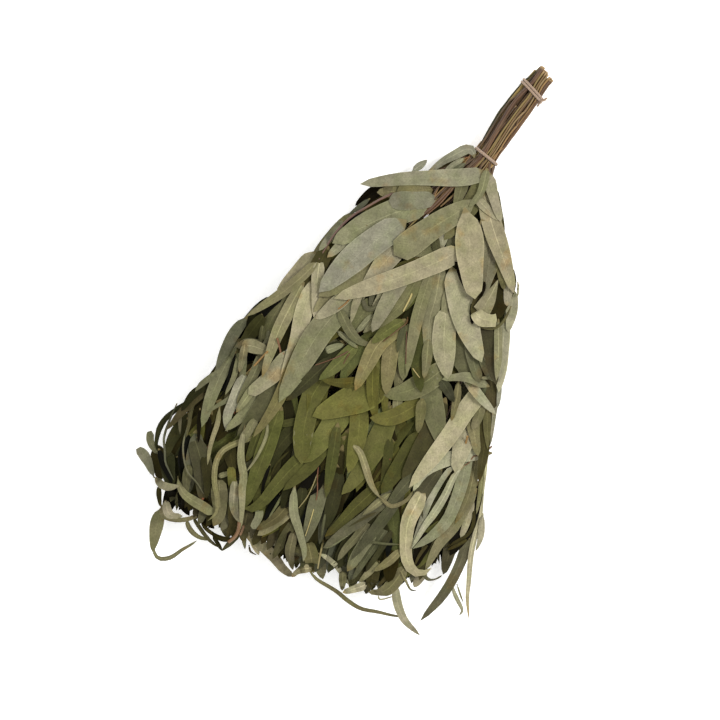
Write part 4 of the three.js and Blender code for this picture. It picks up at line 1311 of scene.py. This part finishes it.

# ---- Leaves at the neck ----
# The last leaves cross over the stems just past the lower tie. One is folded double, one has curled up
# beside the handle, and the others lie flat like feathers. The near-black strips among them are painted
# shade in the gaps between them.


def neck_piece(name, node, leaves, twigs=()):
    wood = [top_twig(*twig) for twig in twigs]
    piece = swept(name, [laid(entry) for entry in leaves], leaf_skin, sides=8, crease=0.7)
    if wood:
        piece = joined(name, [piece, swept(name + "_twigs", wood, bark, sides=6, crease=1.0)])
    dress(piece, "leaf", node)


neck_piece("left_neck_leaves", "neck_leaf_left", [
    ("dusk", 22, BROAD, (4, -6), (30, -22), (66, -46), {"z": [22, 27, 30, 32]}),
    ("umber", 17, BROAD, (0, -12), (16, -25), (42, -46), {"z": [22, 26, 29, 30]}),
    ("ivy", 15, BROAD, (58, -66), (80, -80), (108, -96), {"z": [24, 21, 18]}),
    ("deep", 8, BROAD, (56, -66), (76, -84), (101, -98)),
    ("deep", 11, BROAD, (58, -74), (73, -87), (94, -99), {"z": [22, 20, 16]}),
    ("stone", 5, STRAP, (82, -88), (94, -94.5), (105, -101)),
    ("deep", 6, STRAP, (94, -86), (112, -97), (134, -104)),
    ("pale", 9, BROAD, (112, -103), (132, -109), (150, -114)),
    ("pale", 12, BROAD, (108, -80), (132, -94), (153, -104)),
    ("ash", 29, BROAD, (62, -30), (92, -66), (138, -105), {"fold": 0.12}),
    ("dove", 30, BROAD, (88, -46), (122, -68), (150, -82), (188, -98), {"fold": 0.08}),
], [
    ("#4E3430", 2.6, (62, -62), (70, -70), (80, -79), (91, -87), (103, -96), (116, -102.5), (131, -107),
     (146, -109.5), (158, -111)),
])
neck_piece("middle_neck_leaves", "neck_leaf_centre", [
    ("dusk", 22, BROAD, (4, 0), (40, -10), (84, -26), {"z": [22, 28, 31, 32]}),
    ("umber", 20, BROAD, (60, 2), (88, 1), (118, 4), {"z": [28, 28, 30]}),
    ("sage", 9, BROAD, (76, 2), (90, 3), (106, 5)),
    ("dusk", 22, BROAD, (4, 6), (40, 10), (84, 18), {"z": [22, 28, 31, 32]}),
    ("sage", 15, BROAD, (70, -6), (96, -10), (118, -24)),
    ("cream", 10, BROAD, (72, -8), (88, -6), (102, -3)),
    ("grey", 9, BROAD, (90, -16), (100, -9), (110, -4)),
    ("fern", 18, BROAD, (18, 6), (42, 8), (66, 3), (92, -4), {"fold": 0.1}),
    ("sage", 12, BROAD, (26, -9), (40, -8), (58, -6)),
    ("ash", 27, WIDE_TIP, (38, 12), (62, -3), (86, -20), (125, -44), {"fold": 0.1}),
])
neck_piece("right_neck_leaves", "neck_leaf_right", [
    ("grey", 13, BROAD, (22, 17), (42, 31), (70, 50)),
    ("pale", 22, BROAD, (58, 22), (84, 42), (128, 54)),
    ("fern", 10, BROAD, (88, 52), (100, 62), (114, 70)),
    ("pale", 20, BROAD, (30, 12), (58, 33), (82, 54), (113, 80.5), {"fold": 0.1}),
    ("cream", 9, BROAD, (40, 8), (47, 24), (52, 39)),
    ("dove", 12, BROAD, (12, 11), (30, 22), (53, 41)),
    ("cream", 2.6, STRAP, (101, 80), (108, 83), (114, 85.5)),
])
neck_piece("bright_neck_leaves", "neck_leaf_bright", [
    ("cream", 22, (0.1, 0.42), (92, 18), (118, -5), (142, -29), (164, -54), (188, -82), {"fold": 0.12}),
    ("deep", 5, BROAD, (104, 13), (117, 24), (132, 39)),
    ("deep", 4, BROAD, (114, 49), (122, 51), (130, 52)),
    ("cream", 28, (0.3, 0.42), (54, 2), (76, 16), (103, 29), (134, 47), {"fold": 0.16}),
])
neck_piece("folded_neck_leaves", "neck_leaf_tan", [
    ("ash", 15, BROAD, (54, -46), (64, -64), (74, -84)),
    ("sage", 17, (0.2, 0.3), (50, -34), (58, -50), (66, -66)),
    ("pale", 19, (0.25, 0.25), (56, -26), (67, -46), (77, -70)),
])
neck_piece("long_neck_leaves", "neck_leaf_long", [
    ("dove", 8, LANCE, (41, -60), (34, -56), (24, -50.5)),
    ("pale", 6, STRAP, (8, -17), (18, -24), (31, -31)),
    ("stone", 6, STRAP, (12, -14), (22, -20), (34, -26)),
    ("dove", 10.5, BROAD, (4, -8), (-2, -13.5), (0, -20), (6, -25), (12, -30), (19, -35.5), (27, -40),
     (37, -45), {"z": [34, 38, 38, 37, 37, 38], "fold": 0.1}),
    ("pale", 18, (0.06, 0.4), (13, 10), (26, -9), (40, -40), (54, -70), (73, -103), {"fold": 0.1}),
    ("sage", 9, BROAD, (9, 7.5), (22, 10), (36, 11), (52, 6)),
], [
    ("#8A5A34", 1.8, (0, -11), (6, -14), (12, -20), (22, -26), (34, -38)),
    ("#241A12", 2.6, (2, -13), (12, -21), (24, -30), (36, -44)),
    ("#A88A52", 2.2, (0, 13), (5, 11), (12, 8)),
])

# ---- The leaf on the handle ----
# One narrow dark leaf was caught under both ties and lies along the handle's left side, turned a
# little under it in the middle.

HANDLE_LEAF_WIDTH = 9
HANDLE_LEAF_OUT = 10.8  # from the handle's middle line, just outside the bound stems
# Where it lies round the handle, in degrees from its right side over the top, at places along it.
HANDLE_LEAF_X = [-104, -88, -75, -55, -42, -20, -1]
HANDLE_LEAF_ANGLE = [138, 150, 198, 204, 174, 170, 175]

stations, share = np.linspace(-103, -1, 30), np.linspace(0, 1, 30)
angle = np.radians(np.interp(stations, HANDLE_LEAF_X, HANDLE_LEAF_ANGLE))
across, above = HANDLE_LEAF_OUT * np.cos(angle), HANDLE_LEAF_OUT * np.sin(angle)
points = [handle_point(*place) for place in zip(stations, across, HANDLE_HEIGHT + above)]
half_width = HANDLE_LEAF_WIDTH / 2 * np.maximum(0.08, np.sin(math.pi * np.clip(share, 0.12, 1) ** 0.8))
half_width *= np.interp(stations, [-90, -55], [0.5, 1])  # only a sliver of it shows above the upper tie
bend = {"roll": math.pi / 2 - 0.6, "fold": 0.25, "wave": 0.1, "phase": share * 9}
strip = path(points, half_width, 0.25, tone="#34331E", **bend)
dress(swept("handle_leaf_blade", [strip], leaf_skin, crease=0.7), "leaf", "handle_leaf")

# ---- Ties ----
# Soft three-ply cotton twine, pinkish beige, is wound tightly round the bunch. The upper tie is near the
# cut ends and the lower one at the neck, both knotted hard and cut off short.

TWINE_DIAMETER, TWINE_LAY = 2.6, 6.5
UPPER_TIE_X, LOWER_TIE_X = -80, -2
TIE_TILT, TURN_GAP = 2.2, 0.2
# The handle leaf's edges and ridge, which the ties go round as well.
LEAF_SIDE_ANGLE = math.radians(150)
LEAF_SIDE_OUT = HANDLE_HALF_WIDTH * math.cos(math.pi / 6) + STEM_DIAMETER / 2 + GAP
LEAF_RIDGE = 1.2
SIDE_TWIG_RADIUS = 1.1  # of most of the side twigs, which lie on the round of the stems

# Cotton twine, undyed and a little dusty: matt, with its hairs showing as streaks. They are about
# 0.02 mm thick, and are drawn near a millimetre so that they show.
cotton, tree = new_material("three_ply_cotton_twine")
place = add(tree, "ShaderNodeTexCoord").outputs["Object"]
fibres = add(tree, "ShaderNodeTexNoise", {"Vector": place, "Scale": 1100, "Detail": 3, "Roughness": 0.7})
dust = add(tree, "ShaderNodeTexNoise", {"Vector": place, "Scale": 160, "Detail": 2})
colour = blend_colours(
    tree,
    maths(tree, "MULTIPLY", dust.outputs["Fac"], 0.45),
    ramp(tree, fibres.outputs["Fac"], (0.3, "#86705E"), (0.7, "#AC947C")),
    tuple(srgb("#7E6652")),
)
bump = add(tree, "ShaderNodeBump", {"Height": fibres.outputs["Fac"], "Strength": 0.6, "Distance": 0.0003})
shader = add(tree, "ShaderNodeBsdfPrincipled", {
    "Base Color": colour, "Normal": bump.outputs[0], "Sheen Weight": 0.3, "Sheen Roughness": 0.5,
    "Roughness": add(tree, "ShaderNodeMapRange", {
        "Value": fibres.outputs["Fac"], "To Min": 0.8, "To Max": 0.95,
    }).outputs[0],
})
add(tree, "ShaderNodeOutputMaterial", {"Surface": shader.outputs[0]})


def bound_circles():
    """What a tie goes round: the stems and the handle's leaf, as circles across and up."""
    circles = [
        ((column - (count - 1) / 2) * PITCH, (row - (ROWS - 1) / 2) * ROW_PITCH, STEM_DIAMETER / 2 - 0.1)
        for row, count in enumerate(STEM_ROWS)
        for column in range(count)
    ]
    out = np.array([math.cos(LEAF_SIDE_ANGLE), math.sin(LEAF_SIDE_ANGLE)])
    aside = np.array([-out[1], out[0]])
    for away, along in ((0, -0.5), (0, 0.5), (LEAF_RIDGE, 0)):
        place = out * (LEAF_SIDE_OUT + away) + aside * along * HANDLE_LEAF_WIDTH
        circles.append((*place, 0))
    return circles + [(0, 0, HANDLE_RADIUS + SIDE_TWIG_RADIUS)]


BOUND = bound_circles()


def twine_point(x, angle, out=0.0):
    """The twine's middle line where it leaves the bundle at an angle round the handle."""
    ux, uy = math.cos(angle), math.sin(angle)
    across, above, radius = max(BOUND, key=lambda c: c[0] * ux + c[1] * uy + c[2])
    away = radius + TWINE_DIAMETER / 2 + out
    return handle_point(x + TIE_TILT * ux, across + away * ux, HANDLE_HEIGHT + (above + away * uy))


def plies(route, diameter, number):
    """Three thin strands laid round one another along a route."""
    run = np.r_[0, np.cumsum(np.linalg.norm(np.diff(route, axis=0), axis=1))]
    count = max(8, int(run[-1] / 0.7))
    even = np.linspace(0, run[-1], count)
    line = np.stack([np.interp(even, run, column) for column in np.array(route).T], axis=1)
    guide = path(line, 1, 1)
    across, rise = guide["across"], guide["rise"]
    made = []
    for ply in range(3):
        turn = 2 * math.pi * (even / TWINE_LAY + ply / 3)
        offset = across * np.cos(turn)[:, None] + rise * np.sin(turn)[:, None]
        points = line + offset * diameter * 0.24
        thick = diameter * 0.29 * np.ones(count)
        made.append(path(points, thick, thick, seed=number + ply / 3, tone="#C0A48A"))
    return made


def knotted(place, size, angle, number):
    """An overhand knot pulled tight."""
    t = np.linspace(0, 2 * math.pi, 60)
    loop = [np.sin(t) + 2 * np.sin(2 * t), -1.2 * np.sin(3 * t), np.cos(t) - 2 * np.cos(2 * t)]
    c, s = math.cos(angle), math.sin(angle)
    spin = np.array([[1, 0, 0], [0, c, -s], [0, s, c]])
    return plies(place + size * np.transpose(loop) @ spin.T, TWINE_DIAMETER * 0.72, number)


def tie(name, node, x, turns, knot_angle, tails):
    """Turns of twine that start and end under a knot, from which cut tails stick out."""
    advance = turns * (TWINE_DIAMETER + TURN_GAP) if turns > 1 else 0
    thick = TWINE_DIAMETER * (1.25 if turns == 1 else 1)
    share = np.linspace(0, 1, 40 * turns + 1)
    places = zip(x + advance * (share - 0.5), knot_angle + 2 * math.pi * turns * share)
    route = np.array([twine_point(*place) for place in places])
    route = np.stack([smoothed(column, 2) for column in route.T], axis=1)
    knot_place = twine_point(x, knot_angle, 1.1)
    strands = plies(route, thick, turns) + knotted(knot_place, 1.15, knot_angle, 5)
    for k, (dx, dy, dz) in enumerate(tails):
        end = knot_place + (dx, dy, dz)
        middle = (knot_place + end) / 2 + (0.6, 0, 0.9)
        strands += plies(curve_through([knot_place, middle, end], 12), TWINE_DIAMETER * 0.85, 7 + k)
    dress(swept(name, strands, cotton, sides=7, crease=1.2), "twine", node)


tie("upper_twine", "upper_tie", UPPER_TIE_X, 2, 0.1, [(-5, 5, -1), (-3, 4, 0), (6, -0.5, -2)])
tie("lower_twine", "lower_tie", LOWER_TIE_X, 1, -1.3, [(4, 3, -2), (-4, 4, -2)])

# ---- Camera, floor and light ----
# The whisk lies on a plain pale table and is seen from straight above through a long lens. Two large
# soft lamps light it, the stronger one from the handle's right.

CAMERA_HEIGHT, LENS_WIDTH = 9.0, 36
VIEW_SPAN = 0.72  # metres of the table that the view takes in
VIEW_MIDDLE = (np.array([234.0, -34.3, 0]) + ORIGIN) / 1000
VIEW_TURN = math.radians(23)  # of the whisk, from straight down towards the left
TABLE_Z, TABLE_HALF = -0.0002, 6  # just under the lowest leaves

camera = bpy.data.objects.new("camera", bpy.data.cameras.new("camera"))
bpy.context.scene.collection.objects.link(camera)
camera.data.sensor_width = LENS_WIDTH
camera.data.lens = LENS_WIDTH * CAMERA_HEIGHT / VIEW_SPAN
camera.data.clip_end = 20
view_up = Vector((-math.cos(VIEW_TURN), -math.sin(VIEW_TURN), 0))
view_back = Vector((0, 0, 1))
turn = Matrix((view_up.cross(view_back), view_up, view_back)).transposed()
camera.matrix_world = Matrix.Translation((*VIEW_MIDDLE[:2], CAMERA_HEIGHT)) @ turn.to_4x4()
bpy.context.scene.camera = camera

# Matt white card: an even, nearly shadowless white with a faint grain. It glows a little, painted light
# that keeps its soft shadows white.
card, tree = new_material("glowing_matt_white_card")
grain = add(tree, "ShaderNodeTexNoise", {
    "Vector": add(tree, "ShaderNodeTexCoord").outputs["Object"], "Scale": 300, "Detail": 2,
})
shader = add(tree, "ShaderNodeBsdfPrincipled", {
    "Base Color": ramp(tree, grain.outputs["Fac"], (0.3, "#F8F8F6"), (0.7, "#FCFCFA")), "Roughness": 0.9,
    "Emission Color": srgb("#FFFFFF"), "Emission Strength": 0.36,
})
add(tree, "ShaderNodeOutputMaterial", {"Surface": shader.outputs[0]})
table = bpy.data.meshes.new("table_top")
corners = [(x * TABLE_HALF, y * TABLE_HALF, TABLE_Z) for x, y in ((-1, -1), (1, -1), (1, 1), (-1, 1))]
table.from_pydata(corners, [], [(0, 1, 2, 3)])
table.materials.append(card)
table_top = bpy.data.objects.new("table_top", table)
bpy.context.scene.collection.objects.link(table_top)


def lamp(name, place, size, power, colour="#FFFFFF"):
    data = bpy.data.lights.new(name, "AREA")
    data.shape, data.size, data.energy = "DISK", size, power
    data.color = srgb(colour)[:3]
    light = bpy.data.objects.new(name, data)
    light.location = place
    light.rotation_euler = (-Vector(place)).to_track_quat("-Z", "Y").to_euler()
    bpy.context.scene.collection.objects.link(light)


lamp("key_lamp", (-1.5, 1.6, 3.5), 1.1, 110)
lamp("fill_lamp", (1.6, -1.4, 4.0), 2.4, 25)

world = bpy.data.worlds.new("soft_room")
world.use_nodes = True
world.node_tree.nodes["Background"].inputs["Color"].default_value = srgb("#FFFFFF")
world.node_tree.nodes["Background"].inputs["Strength"].default_value = 0.95
bpy.context.scene.world = world
bpy.context.scene.view_settings.view_transform = "Standard"
